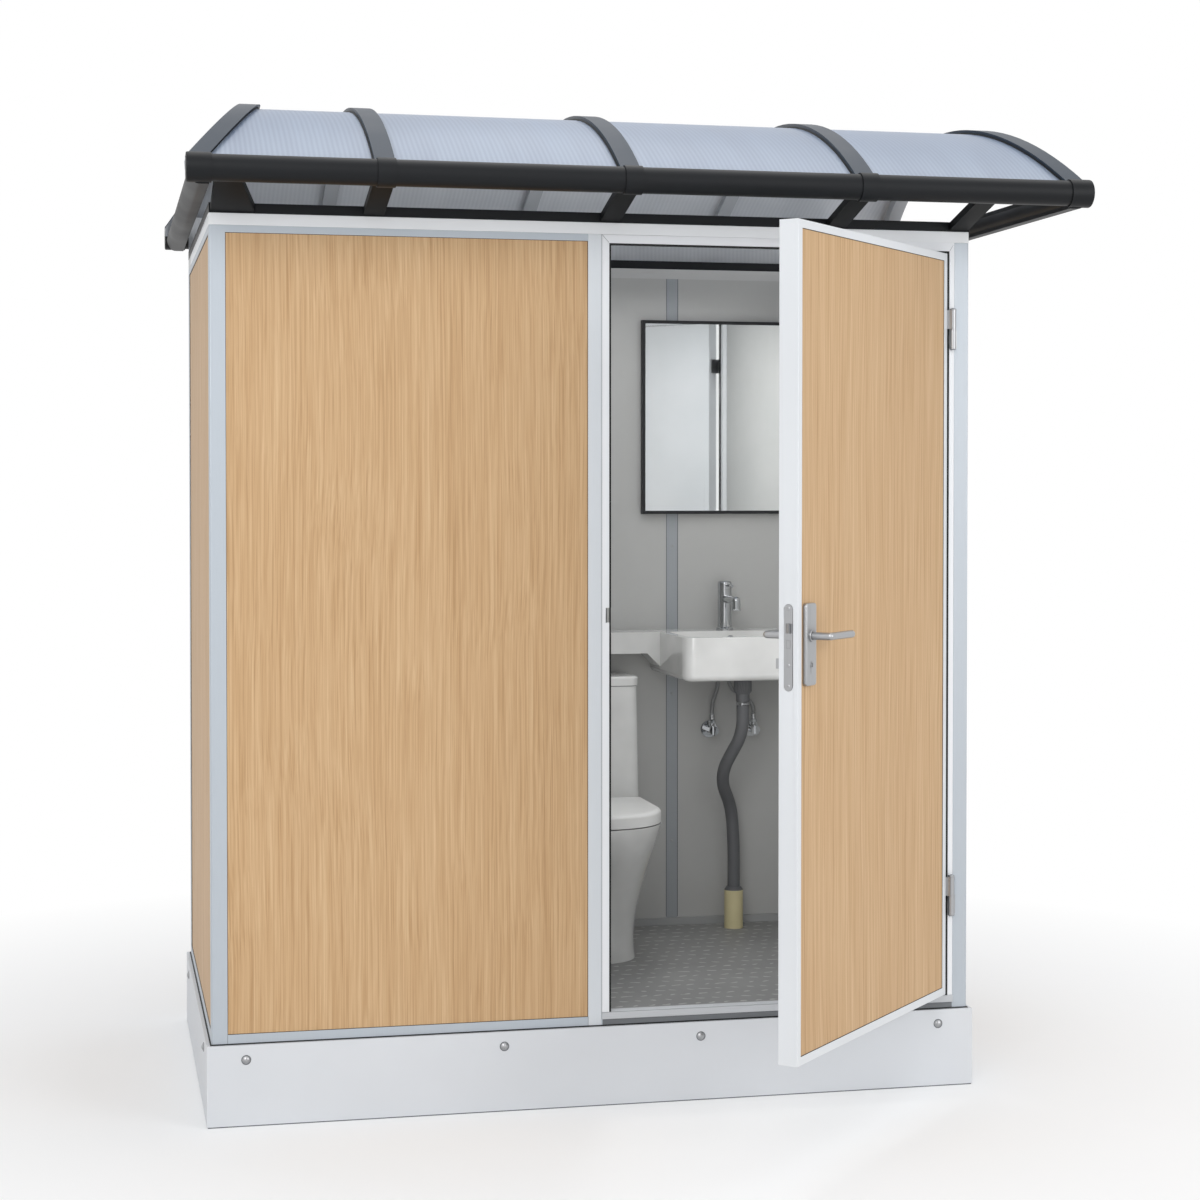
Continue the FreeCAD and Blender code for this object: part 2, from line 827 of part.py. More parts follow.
STRIKE_Y = ("leaf_front", "-inner_y")
LATCH_NOTCH_Z = about("latch_z", "latch_height + 2 * strike_margin")
BOLT_POCKET_Z = about("bolt_z", "bolt_height + strike_sheet * 2")
BOLT_POCKET_Y = about("leaf_middle", "bolt_thickness + strike_sheet * 2")


def make_casing():
    """Three mitred casings round the opening. The lock side has a latch notch and a bolt pocket."""
    lock = prism(
        "lock_casing_bar",
        "XZ_Plane",
        [
            ("mullion_right", "sill_top"),
            ("opening_left", "sill_top"),
            ("opening_left", "opening_top"),
            ("mullion_right", "rail_bottom"),
        ],
        "post_size",
        ("0", "-half_depth", "0"),
    )
    head = prism(
        "head_casing_bar",
        "XZ_Plane",
        [
            ("mullion_right", "rail_bottom"),
            ("opening_left", "opening_top"),
            ("opening_right", "opening_top"),
            ("inner_x", "rail_bottom"),
        ],
        "post_size",
        ("0", "-half_depth", "0"),
    )
    hinge = prism(
        "hinge_casing_bar",
        "XZ_Plane",
        [
            ("opening_right", "sill_top"),
            ("inner_x", "sill_top"),
            ("inner_x", "rail_bottom"),
            ("opening_right", "opening_top"),
        ],
        "post_size",
        ("0", "-half_depth", "0"),
    )
    notch = block("latch_notch", ("opening_left - strike_depth", "opening_left"), STRIKE_Y, LATCH_NOTCH_Z)
    pocket = block(
        "bolt_pocket",
        ("opening_left - bolt_pocket_depth", "opening_left"),
        BOLT_POCKET_Y,
        BOLT_POCKET_Z,
    )
    keep("door_casing", cut("lock_casing", lock, notch, pocket), head, hinge)


def make_sill_and_gasket():
    sill = block(
        "sill_bar",
        ("mullion_right", "inner_x"),
        ("-half_depth - sill_nose", "-inner_y"),
        ("sill_bottom", "sill_top"),
    )

    def nose(edge):
        return runs_along(edge, Vector(1, 0, 0)) and edge.CenterOfMass.y < -number("half_depth")

    keep("door_sill", rounded("sill_rounded", sill, "sill_nose / 2", nose))
    ys = ("-half_depth + gasket_set_back", "-half_depth + gasket_set_back + gasket_depth")
    lock_x = ("opening_left", "opening_left + gasket_width")
    head_z = "opening_top - gasket_width"
    keep(
        "door_gasket",
        block("lock_gasket_low", lock_x, ys, ("sill_top", BOLT_POCKET_Z[0])),
        block("lock_gasket_high", lock_x, ys, (LATCH_NOTCH_Z[1], head_z)),
        block("head_gasket", ("opening_left", "opening_right"), ys, (head_z, "opening_top")),
        block("hinge_gasket", ("opening_right - gasket_width", "opening_right"), ys, ("sill_top", head_z)),
    )


def make_strike():
    """A dark liner at the back of the latch notch and a holed plate over the bolt pocket."""
    back = "opening_left - strike_depth"
    liner = block("latch_liner", (back, f"{back} + strike_sheet"), STRIKE_Y, LATCH_NOTCH_Z)
    plate = block(
        "bolt_plate",
        ("opening_left", "opening_left + strike_sheet"),
        ("leaf_middle - faceplate_width / 2", "-inner_y"),
        (f"{BOLT_POCKET_Z[0]} - strike_margin", LATCH_NOTCH_Z[0]),
    )
    window = block("bolt_window", ("opening_left", "opening_left + strike_sheet"), BOLT_POCKET_Y, BOLT_POCKET_Z)
    keep("strike_plate", liner, cut("bolt_plate_holed", plate, window))


def make_hinges():
    """Lift-off hinges: the lower knuckle with its pin on the casing, the upper knuckle on the leaf."""
    lower, upper = [], []
    for name, height in (("top", "hinge_top_height"), ("bottom", "hinge_bottom_height")):
        low = (f"{height} - hinge_length / 2", f"{height} - knuckle_gap / 2")
        high = (f"{height} + knuckle_gap / 2", f"{height} + hinge_length / 2")
        low_length = f"({low[1]}) - ({low[0]})"
        high_length = f"({high[1]}) - ({high[0]})"
        axis = ("hinge_x", "hinge_y")
        knuckle = rod(f"{name}_low_knuckle", "knuckle_radius", "+Z", (*axis, low[0]), low_length)
        pin = rod(f"{name}_pin", "hinge_pin_radius", "+Z", (*axis, low[0]), f"hinge_length - knuckle_radius")
        plate = block(
            f"{name}_frame_plate",
            ("opening_right", "hinge_x + hinge_from_edge"),
            ("-half_depth - hinge_plate", "-half_depth"),
            low,
        )
        lower.append(join(f"{name}_frame_leaf", knuckle, pin, plate))
        barrel = rod(f"{name}_high_knuckle", "knuckle_radius", "+Z", (*axis, high[0]), high_length)
        web = block(f"{name}_door_web", ("leaf_right", "hinge_x"), about("hinge_y", "2 * hinge_plate"), high)
        edge_plate = block(
            f"{name}_door_plate",
            ("leaf_right", "leaf_right + hinge_plate"),
            ("hinge_y", "leaf_front + hinge_plate_reach"),
            high,
        )
        bore = rod(
            f"{name}_bore",
            "hinge_pin_radius + hinge_pin_clearance",
            "+Z",
            (*axis, high[0]),
            f"{high_length} - knuckle_radius + hinge_pin_radius",
        )
        upper.append(cut(f"{name}_door_leaf", join(f"{name}_door_leaf_blank", barrel, web, edge_plate), bore))
    keep("hinge_frame_leaves", *lower)
    keep_on_door("hinge_door_leaves", *upper)


# Door leaf, drawn closed

LOCK_Y = about("leaf_middle", "lock_case_thickness")
LOCK_Z = about("lock_middle", "lock_case_height")
CASE_LEFT = "leaf_left + faceplate_thickness"


def latch_spans(clearance="0", low="0", high="latch_length"):
    """Spans of the latch's shank behind the faceplate's outer face, grown by a clearance."""
    return (
        (f"leaf_left + {low}", f"leaf_left + {high}"),
        about("leaf_middle", f"latch_thickness + 2 * {clearance}"),
        about("latch_z", f"latch_height + 2 * {clearance}"),
    )


def bolt_spans(clearance="0", low="0", high="bolt_length"):
    return (
        (f"leaf_left + {low}", f"leaf_left + {high}"),
        about("leaf_middle", f"bolt_thickness + 2 * {clearance}"),
        about("bolt_z", f"bolt_height + 2 * {clearance}"),
    )


def cylinder_profile(name, ys, grown="0"):
    """The lock cylinder's keyhole section between two depths: a round with a fin below it."""
    low, high = ys
    length = f"({high}) - ({low})"
    barrel = rod(name + "_round", f"cylinder_radius + {grown}", "+Y", ("lever_x", low, "cylinder_z"), length)
    fin = block(
        name + "_fin",
        about("lever_x", f"cylinder_fin_width + 2 * {grown}"),
        ys,
        (f"cylinder_z - cylinder_fin_drop - {grown}", "cylinder_z"),
    )
    return join(name, barrel, fin)


def rounded_plate(name, xs, grown="0"):
    """The faceplate's round-ended outline between two depths into the edge of the door."""
    low, high = xs
    length = f"({high}) - ({low})"
    radius = f"faceplate_width / 2 + {grown}"
    half = "(faceplate_length - faceplate_width) / 2"
    middle = block(
        name + "_middle",
        xs,
        about("leaf_middle", f"2 * ({radius})"),
        (f"lock_middle - {half}", f"lock_middle + {half}"),
    )
    top = rod(name + "_top", radius, "+X", (low, "leaf_middle", f"lock_middle + {half}"), length)
    foot = rod(name + "_foot", radius, "+X", (low, "leaf_middle", f"lock_middle - {half}"), length)
    return join(name, middle, top, foot)


def make_door_leaf():
    """Mitred edge profiles round a wood-faced slab and an inner lining, cut out for the lock."""
    inner = {
        "left": "leaf_left + door_border",
        "right": "leaf_right - door_border",
        "bottom": "leaf_bottom + door_border",
        "top": "leaf_top - door_border",
    }
    outer_corners = {
        "bottom_left": ("leaf_left", "leaf_bottom"),
        "bottom_right": ("leaf_right", "leaf_bottom"),
        "top_right": ("leaf_right", "leaf_top"),
        "top_left": ("leaf_left", "leaf_top"),
    }
    inner_corners = {
        "bottom_left": (inner["left"], inner["bottom"]),
        "bottom_right": (inner["right"], inner["bottom"]),
        "top_right": (inner["right"], inner["top"]),
        "top_left": (inner["left"], inner["top"]),
    }
    ring = list(outer_corners)
    bars = {}
    for i, corner in enumerate(ring):
        after = ring[(i + 1) % len(ring)]
        outline = [outer_corners[corner], outer_corners[after], inner_corners[after], inner_corners[corner]]
        bars[corner] = prism(
            f"door_bar_{corner}", "XZ_Plane", outline, "door_thickness", ("0", "leaf_front", "0")
        )
    recess = rounded_plate("faceplate_recess", ("leaf_left", CASE_LEFT), "slide_clearance")
    mortice = block(
        "stile_mortice",
        ("leaf_left", inner["left"]),
        about("leaf_middle", "lock_case_thickness + 2 * lock_fit"),
        about("lock_middle", "lock_case_height + 2 * lock_fit"),
    )
    lock_stile = cut("lock_stile", bars["top_left"], join("stile_cutout", recess, mortice))
    keep_on_door("door_profiles", lock_stile, *[bars[corner] for corner in ring[:3]])
    make_door_faces(inner)


def make_door_faces(inner):
    """The slab with its lock mortice, and the lining, both bored for the spindle and the cylinder."""
    xs = (inner["left"], inner["right"])
    zs = (inner["bottom"], inner["top"])
    back = "skin_back - door_lining"
    for label, ys in (("door_panel", ("skin_front", back)), ("door_lining_sheet", (back, "skin_back"))):
        low, high = ys
        slab = block(label + "_slab", xs, ys, zs)
        lever_hole = rod(
            label + "_lever_hole",
            "lever_radius + lever_hole_margin",
            "+Y",
            ("lever_x", low, "lever_height"),
            f"({high}) - ({low})",
        )
        cylinder_hole = cylinder_profile(label + "_cylinder_hole", ys, "lock_fit")
        tools = [lever_hole, cylinder_hole]
        if label == "door_panel":
            mortice = block(
                "panel_mortice",
                (inner["left"], f"{CASE_LEFT} + lock_case_depth + lock_fit"),
                about("leaf_middle", "lock_case_thickness + 2 * lock_fit"),
                about("lock_middle", "lock_case_height + 2 * lock_fit"),
            )
            tools = [join("panel_cutout", lever_hole, cylinder_hole, mortice)]
        keep_on_door(label, cut(label + "_cut", slab, *tools))


def make_lock():
    case = block("lock_case_box", (CASE_LEFT, f"{CASE_LEFT} + lock_case_depth"), LOCK_Y, LOCK_Z)
    latch_run = "latch_length + latch_throw + lock_fit"
    latch_way = block("latch_way", *latch_spans("slide_clearance", "faceplate_thickness", latch_run))
    bolt_way = block("bolt_way", *bolt_spans("slide_clearance", "faceplate_thickness", "bolt_length + lock_fit"))
    spindle_way = rod(
        "spindle_way", "spindle_hole_radius", "+Y", ("lever_x", LOCK_Y[0], "lever_height"), "lock_case_thickness"
    )
    cylinder_way = cylinder_profile("cylinder_way", LOCK_Y, "cylinder_fit")
    keep_on_door("lock_case", cut("lock_case_cut", case, latch_way, bolt_way, spindle_way, cylinder_way))
    plate = rounded_plate("faceplate_blank", ("leaf_left", CASE_LEFT))
    latch_window = block("latch_window", *latch_spans("slide_clearance", "0", "faceplate_thickness"))
    bolt_window = block("bolt_hole", *bolt_spans("slide_clearance", "0", "faceplate_thickness"))
    keep_on_door("lock_faceplate", cut("faceplate_cut", plate, latch_window, bolt_window))
    make_bolts()
    outside = "skin_front - handle_plate_thickness - cylinder_proud"
    inside = "skin_back + handle_plate_thickness + cylinder_proud"
    keep_on_door("lock_cylinder", cylinder_profile("cylinder_body", (outside, inside)))
    wing_start = f"{inside} + thumb_turn_gap"
    disc = rod(
        "thumb_disc", "thumb_turn_radius", "+Y", ("lever_x", wing_start, "cylinder_z"), "thumb_turn_disc"
    )
    wing = block(
        "thumb_wing",
        about("lever_x", "thumb_turn_thickness"),
        (wing_start, f"{wing_start} + thumb_turn_disc + thumb_turn_wing"),
        about("cylinder_z", "2 * thumb_turn_radius - thumb_turn_disc"),
    )
    keep_on_door("thumb_turn", join("thumb_turn_body", disc, wing))


def make_bolts():
    """The spring latch with its slanted nose, thrown out, and the dead bolt, drawn in."""
    low_y, high_y = latch_spans()[1]
    nose = [
        ("leaf_left - latch_throw", low_y),
        ("leaf_left + latch_length", low_y),
        ("leaf_left + latch_length", high_y),
        ("leaf_left", high_y),
    ]
    bottom = latch_spans()[2][0]
    latch = prism("latch_bar", "XY_Plane", nose, "latch_height", ("0", "0", bottom))
    keep_on_door("latch_bolt", latch)
    keep_on_door("dead_bolt", block("dead_bolt_bar", *bolt_spans()))


def make_handles():
    """Long plates on both faces, and a lever pair joined by a square spindle."""
    plates, levers = [], []
    for side, face, sign in (("outside", "skin_front", "-"), ("inside", "skin_back", "+")):
        far = f"{face} {sign} handle_plate_thickness"
        ys = (far, face) if sign == "-" else (face, far)
        blank = block(
            f"{side}_plate_blank",
            about("lever_x", "handle_plate_width"),
            ys,
            about("plate_middle", "handle_plate_length"),
        )
        soft = rounded(
            f"{side}_plate_corners",
            blank,
            "handle_plate_corner",
            lambda edge: runs_along(edge, Vector(0, 1, 0)),
        )
        neck_hole = rod(
            f"{side}_neck_hole",
            "lever_radius + turn_clearance",
            "+Y",
            ("lever_x", ys[0], "lever_height"),
            "handle_plate_thickness",
        )
        keyhole = cylinder_profile(f"{side}_keyhole", ys, "cylinder_fit")
        plates.append(cut(f"{side}_plate", soft, neck_hole, keyhole))
        reach = "handle_plate_thickness + lever_neck"
        elbow_y = f"{face} {sign} ({reach})"
        neck = rod(f"{side}_neck", "lever_radius", f"{sign}Y", ("lever_x", face, "lever_height"), reach)
        elbow = ball(f"{side}_elbow", "lever_radius", "lever_x", elbow_y, "lever_height")
        grip = rod(f"{side}_grip", "lever_radius", "+X", ("lever_x", elbow_y, "lever_height"), "lever_grip")
        levers.append(join(f"{side}_lever", neck, elbow, grip))
    spindle = block(
        "lever_spindle",
        about("lever_x", "spindle_size"),
        ("skin_front", "skin_back"),
        about("lever_height", "spindle_size"),
    )
    keep_on_door("handle_plates", *plates)
    keep_on_door("lever_handles", *levers, spindle)


# Roof

RIB_PLACES = ["first_rib", "second_rib", "third_rib", "fourth_rib", "last_rib"]
EAVES = [("front", "front_tube_y"), ("rear", "rear_tube_y")]
ROOF_X = ("roof_low_x", "roof_high_x")


def roof_arch(name, inner, outer, xs):
    """A band of the vault between two radii, from one eave tube's axis to the other."""
    low, high = xs
    start = math.radians(90 - number("roof_half_angle"))
    along = Vector(0, math.cos(start), math.sin(start))
    across = Vector(0, -math.sin(start), math.cos(start))
    turn = Rotation(along, across, Vector(1, 0, 0), "ZXY")
    sector = doc.addObject("Part::Cylinder", name + "_sector")
    bind(sector, "Radius", outer)
    bind(sector, "Height", f"({high}) - ({low})")
    bind(sector, "Angle", "2 * roof_half_angle")
    sector.Placement = Placement(Vector(), turn)
    put(sector, low, "roof_middle", "roof_axis_z")
    core = rod(name + "_core", inner, "+X", (low, "roof_middle", "roof_axis_z"), f"({high}) - ({low})")
    return cut(name, sector, core)


def eave_rods(name, radius, xs):
    """A round bar on the axis of each eave."""
    low, high = xs
    return [rod(f"{name}_{eave}", radius, "+X", (low, y, "tube_z"), f"({high}) - ({low})") for eave, y in EAVES]


def make_eaves():
    """Tubes along both eaves, with cup caps on their ends and collars under the middle ribs."""
    tubes, caps, collars = [], [], []
    bore = "tube_radius - tube_wall"
    fit = "tube_radius + weld_gap"
    tube_x = ("roof_low_x + cap_end", "roof_high_x - cap_end")
    hollows = eave_rods("tube_bore", bore, tube_x)
    for outer, hollow, (eave, _) in zip(eave_rods("tube_blank", "tube_radius", tube_x), hollows, EAVES):
        tubes.append(cut(f"{eave}_tube", outer, hollow))
    ends = [
        ("left", ("roof_low_x", "roof_low_x + cap_length"), ("roof_low_x + cap_end", "roof_low_x + cap_length")),
        ("right", ("roof_high_x - cap_length", "roof_high_x"), ("roof_high_x - cap_length", "roof_high_x - cap_end")),
    ]
    for end, outside, inside in ends:
        tip = number(outside[0] if end == "left" else outside[1])
        blanks = eave_rods(f"{end}_cap_blank", "sleeve_radius", outside)
        sockets = eave_rods(f"{end}_cap_socket", fit, inside)
        for blank, socket, (eave, _) in zip(blanks, sockets, EAVES):
            soft = rounded(
                f"{end}_{eave}_cap_round",
                blank,
                "cap_round",
                lambda edge, tip=tip: abs(edge.CenterOfMass.x - tip) < 1 and len(edge.Vertexes) == 1,
            )
            caps.append(cut(f"{end}_{eave}_cap", soft, socket))
    for place in RIB_PLACES[1:-1]:
        span = about(place, "collar_length")
        blanks = eave_rods(f"collar_{place}", "sleeve_radius", span)
        sockets = eave_rods(f"collar_bore_{place}", fit, span)
        for blank, socket, (eave, _) in zip(blanks, sockets, EAVES):
            collars.append(cut(f"{eave}_collar_{place}", blank, socket))
    keep("eave_tubes", *tubes)
    keep("eave_sleeves", *caps, *collars)


def raked(place, slope, height):
    """The place of a leaning end at a height, straight above its foot on the eave's sleeve."""
    return f"{place} + ({slope}) * ({height} - rake_foot)"


def lean(name, left, right):
    """A wall across the roof between two leaning planes, each given as a foot place and a slope."""
    corners = []
    for (place, slope), height in ((left, "tube_z"), (right, "tube_z"), (right, "rake_top"), (left, "rake_top")):
        corners.append((raked(place, slope, height), height))
    return prism(name, "XZ_Plane", corners, "roof_chord", ("0", "front_tube_y", "0"))


def make_bands(name, inner, outer, width, seats):
    """One arched band at each rib. The end bands lean in towards the crest."""
    slopes = {"first_rib": "left_rake_slope", "last_rib": "right_rake_slope"}
    bands = []
    for place in RIB_PLACES:
        low, high = about(place, width)
        if place in slopes:
            slope = slopes[place]
            wall = lean(f"{name}_wall_{place}", (low, slope), (high, slope))
            arch = common(f"{name}_{place}", roof_arch(f"{name}_arch_{place}", inner, outer, ROOF_X), wall)
        else:
            arch = roof_arch(f"{name}_{place}", inner, outer, (low, high))
        bands.append(cut(f"{name}_seated_{place}", arch, seats))
    return bands


def make_vault():
    """Ribs, sheet and cover straps, fish-mouthed on to the eave tubes and their sleeves."""
    seats = group("sleeve_seats", eave_rods("sleeve_seat", "sleeve_radius + weld_gap", ROOF_X))
    keep("roof_ribs", *make_bands("rib", "rib_inner", "rib_outer", "rib_width", seats))
    keep("roof_straps", *make_bands("strap", "strap_inner", "strap_outer", "strap_width", seats))
    sheet_left = "first_rib - strap_width / 2 + sheet_set_in"
    sheet_right = "last_rib + strap_width / 2 - sheet_set_in"
    sheet_wall = lean("vault_wall", (sheet_left, "left_rake_slope"), (sheet_right, "right_rake_slope"))
    full_sheet = roof_arch("vault_arch", "rib_outer", "strap_inner", ROOF_X)
    sheet = common("vault_sheet", full_sheet, sheet_wall)
    tube_seats = group("tube_seats", eave_rods("tube_seat", "tube_radius + weld_gap", ROOF_X))
    on_tubes = cut("vault_on_tubes", sheet, tube_seats)
    sleeves = []
    spans = [("roof_low_x", "roof_low_x + cap_length"), ("roof_high_x - cap_length", "roof_high_x")]
    spans += [about(place, "collar_length") for place in RIB_PLACES[1:-1]]
    for i, span in enumerate(spans):
        sleeves += eave_rods(f"sheet_sleeve_{i}", "sleeve_radius + weld_gap", span)
    under = rod(
        "under_vault",
        "rib_inner - weld_gap",
        "+X",
        ("roof_low_x", "roof_middle", "roof_axis_z"),
        "roof_high_x - roof_low_x",
    )
    infill_y = about("half_depth - post_size / 2", "sheet_thickness")
    infill = block("rear_infill", FULL_X, infill_y, ("roof_rail_top", "rake_top"))
    keep("roof_sheet", cut("vault_seated", on_tubes, *sleeves), common("rear_infill_trimmed", infill, under))
    make_roof_frame(seats, tube_seats, under)


def make_roof_frame(seats, tube_seats, under):
    """Base rails on the cabin, struts out to the eaves and rounded bars across both ends."""
    height = ("frame_top", "roof_rail_top")
    keep(
        "roof_base_rails",
        block("front_roof_rail", FULL_X, flip(WALL_Y), height),
        block("rear_roof_rail", FULL_X, WALL_Y, height),
        block("left_roof_rail", flip(WALL_X), INSIDE_Y, height),
        block("right_roof_rail", WALL_X, INSIDE_Y, height),
    )
    struts = []
    corner = "half_width - corner_strut_inset"
    narrow, spread = "strut_width / 2", "gusset_width - strut_width / 2"
    feet = [(f"-({corner})", spread, tube_seats), (corner, narrow, tube_seats)]
    feet += [(place, narrow, seats) for place in RIB_PLACES[1:-1]]
    for i, (place, right, seat) in enumerate(feet):
        for eave, _ in EAVES:
            wedge = make_strut(f"{eave}_strut_{i}", eave, place, (f"{place} - {narrow}", f"{place} + {right}"))
            seated = cut(f"{eave}_strut_seated_{i}", wedge, seat)
            struts.append(common(f"{eave}_strut_trimmed_{i}", seated, under))
    keep("roof_struts", *struts)
    bars = []
    for end, place, sign in (("left", "first_rib", -1), ("right", "last_rib", 1)):
        bar = make_end_bar(end, place, sign)
        seated = cut(f"{end}_end_bar_seated", bar, seats)
        bars.append(common(f"{end}_end_bar_trimmed", seated, under))
    keep("roof_end_bars", *bars)


def make_strut(name, eave, place, foot_x):
    """A bar that rises from the base rail's face to the eave tube, with its own width at the rail."""
    wedge = doc.addObject("Part::Wedge", name)
    foot_z = about("frame_top + roof_rail_height / 2", "strut_height")
    ends = [(about(place, "strut_width"), about("tube_z", "strut_height")), (foot_x, foot_z)]
    span = ("front_tube_y", "-half_depth")
    if eave == "rear":
        ends.reverse()
        span = ("half_depth", "rear_tube_y")
    (first_x, first_z), (last_x, last_z) = ends
    values = {"Ymin": span[0], "Ymax": span[1]}
    values.update({"Xmin": first_x[0], "Xmax": first_x[1], "Zmin": first_z[0], "Zmax": first_z[1]})
    values.update({"X2min": last_x[0], "X2max": last_x[1], "Z2min": last_z[0], "Z2max": last_z[1]})
    for prop, text in values.items():
        bind(wedge, prop, text)
    return wedge


def make_end_bar(end, place, sign):
    """A bar with a half-round outer side and a flat inner side, from eave to eave."""
    radius = "end_bar_height / 2"
    outer = f"{place} + {sign} * end_bar_width / 2"
    round_x = f"{outer} - {sign} * {radius}"
    inner = f"{place} - {sign} * end_bar_width / 2"
    height = "tube_z - end_bar_drop"
    flat_x = (round_x, inner) if sign < 0 else (inner, round_x)
    length = "rear_tube_y - front_tube_y"
    nose = rod(f"{end}_bar_round", radius, "+Y", (round_x, "front_tube_y", height), length)
    flat = block(f"{end}_bar_flat", flat_x, ("front_tube_y", "rear_tube_y"), about(height, "end_bar_height"))
    return join(f"{end}_end_bar", nose, flat)


# Toilet

def horseshoe(width, front, back, height):
    """A closed wire with a straight back and sides and a half-round front, about the toilet's middle."""
    middle, radius = number("toilet_x"), width / 2
    slant = radius * math.sqrt(0.5)
    back_left = Vector(middle - radius, back, height)
    back_right = Vector(middle + radius, back, height)
    left = Vector(middle - radius, front + radius, height)
    right = Vector(middle + radius, front + radius, height)
    tip = Vector(middle, front, height)
    left_bend = Vector(middle - slant, front + radius - slant, height)
    right_bend = Vector(middle + slant, front + radius - slant, height)
    edges = [
        Part.LineSegment(back_left, left).toShape(),
        Part.Arc(left, left_bend, tip).toShape(),
        Part.Arc(tip, right_bend, right).toShape(),
        Part.LineSegment(right, back_right).toShape(),
        Part.LineSegment(back_right, back_left).toShape(),
    ]
    return Part.Wire(edges)


def rounded_rectangle(middle_x, middle_y, width, depth, corner, height):
    """A closed wire with four round corners."""
    half_x, half_y = width / 2 - corner, depth / 2 - corner
    slant = corner * math.sqrt(0.5)
    edges, last = [], None
    turns = [(1, -1), (1, 1), (-1, 1), (-1, -1)]
    for i, (sx, sy) in enumerate(turns):
        centre = Vector(middle_x + sx * half_x, middle_y + sy * half_y, height)
        flat_x = centre + Vector(0, sy * corner, 0)
        flat_y = centre + Vector(sx * corner, 0, 0)
        bend = centre + Vector(sx * slant, sy * slant, 0)
        start, end = (flat_x, flat_y) if sx * sy < 0 else (flat_y, flat_x)
        if last is not None:
            edges.append(Part.LineSegment(last, start).toShape())
        edges.append(Part.Arc(start, bend, end).toShape())
        last = end
    first = edges[0].Vertexes[0].Point
    edges.append(Part.LineSegment(last, first).toShape())
    return Part.Wire(Part.__sortEdges__(edges))


def oval(middle_y, length, width, height):
    """An upright bowl section about the toilet's middle."""
    centre = Vector(number("toilet_x"), middle_y, height)
    front = centre - Vector(0, length / 2, 0)
    side = centre + Vector(width / 2, 0, 0)
    return Part.Wire([Part.Ellipse(front, side, centre).toShape()])


def make_toilet_body():
    """A skirted pedestal that flares up to the rim, the cistern behind it and the hollow bowl."""
    floor, rim = number("floor_top"), number("rim_height")
    front, back = number("toilet_front"), number("toilet_back")
    width, foot = number("rim_width"), number("foot_width")
    set_back, waist = number("foot_set_back"), number("waist_height")
    spread = width - foot
    sections = [
        (0, foot, set_back),
        (waist, foot - number("foot_flare"), set_back),
        (rim * 0.48, foot + spread * 0.2, set_back * 0.8),
        (rim * 0.71, foot + spread * 0.52, set_back * 0.42),
        (rim, width, 0),
    ]
    wires = [horseshoe(wide, front + step, back, floor + height) for height, wide, step in sections]
    pedestal = Part.makeLoft(wires, True, False)
    middle_y = (number("cistern_front") + back) / 2
    depth, corner = number("cistern_depth"), number("cistern_corner")
    tank_foot = number("rim_top") - corner
    tank = Part.makeLoft(
        [
            rounded_rectangle(number("toilet_x"), middle_y, number("cistern_width"), depth, corner, tank_foot),
            rounded_rectangle(
                number("toilet_x"), middle_y, number("cistern_top_width"), depth, corner, number("cistern_top")
            ),
        ],
        True,
        True,
    )
    length, bowl_width = number("bowl_length"), number("bowl_width")
    bowl_y = front + number("bowl_set_back") + length / 2
    top = number("rim_top")
    depth_below = number("bowl_depth")
    hollow = Part.makeLoft(
        [
            oval(bowl_y, length, bowl_width, top),
            oval(bowl_y + length * 0.04, length * 0.86, bowl_width * 0.84, top - depth_below * 0.5),
            oval(bowl_y + length * 0.16, length * 0.4, bowl_width * 0.42, top - depth_below),
        ],
        True,
        False,
    )
    keep("toilet_body", shaped("toilet_ceramic", pedestal.fuse(tank).cut(hollow).removeSplitter()))


def make_cistern_lid():
    """The lid on its inset rim, with a round well, and two half-round flush buttons in it."""

    def plate(grown, low, height):
        wire = rounded_rectangle(
            number("toilet_x"),
            number("button_y"),
            number("cistern_top_width") + 2 * grown,
            number("cistern_depth") + 2 * grown,
            number("cistern_corner") + grown,
            low,
        )
        return Part.Face(wire).extrude(Vector(0, 0, height))

    foot, gap = number("cistern_top"), number("cistern_lid_gap")
    top = number("cistern_lid_top")
    slab = plate(number("cistern_lid_lip"), foot + gap, top - foot - gap)
    rims = [edge for edge in slab.Edges if abs(edge.BoundBox.ZMin - top) < 1e-6]
    slab = slab.makeFillet(number("cistern_lid_round"), rims)
    lid = shaped("cistern_lid_slab", slab.fuse(plate(-number("cistern_lid_inset"), foot, gap)))
    well = rod(
        "button_well_tool",
        "button_radius + button_clearance",
        "+Z",
        ("toilet_x", "button_y", "cistern_lid_top - button_well"),
        "button_well",
    )
    keep("cistern_lid", cut("cistern_lid_cut", lid, well))
    low = "cistern_lid_top + button_proud - button_height"
    for label, side in (("flush_button_half", "-"), ("flush_button_full", "+")):
        disc = rod(label + "_disc", "button_radius", "+Z", ("toilet_x", "button_y", low), "button_height")
        edge = f"toilet_x {side} button_split / 2"
        far = f"toilet_x {side} button_radius"
        span = (edge, far) if side == "+" else (far, edge)
        half = block(
            label + "_side", span, about("button_y", "2 * button_radius"), (low, f"{low} + button_height")
        )
        keep(label, common(label + "_body", disc, half))


def seat_ears(name, start, z_span):
    """A pair of bored ears on the hinge rod, with webs that reach forward into the seat or the lid."""
    ears = []
    for side, sign in (("left", -1), ("right", 1)):
        near = f"toilet_x + {sign} * ({start})"
        far = f"{near} + {sign} * seat_ear_width"
        span = (far, near) if sign < 0 else (near, far)
        drum = rod(f"{name}_{side}_drum", "seat_ear_radius", "+X", (span[0], "seat_axis_y", "seat_axis_z"), "seat_ear_width")
        web = block(f"{name}_{side}_web", span, ("seat_back - seat_axis_margin", "seat_axis_y"), z_span)
        ears += [drum, web]
    return ears


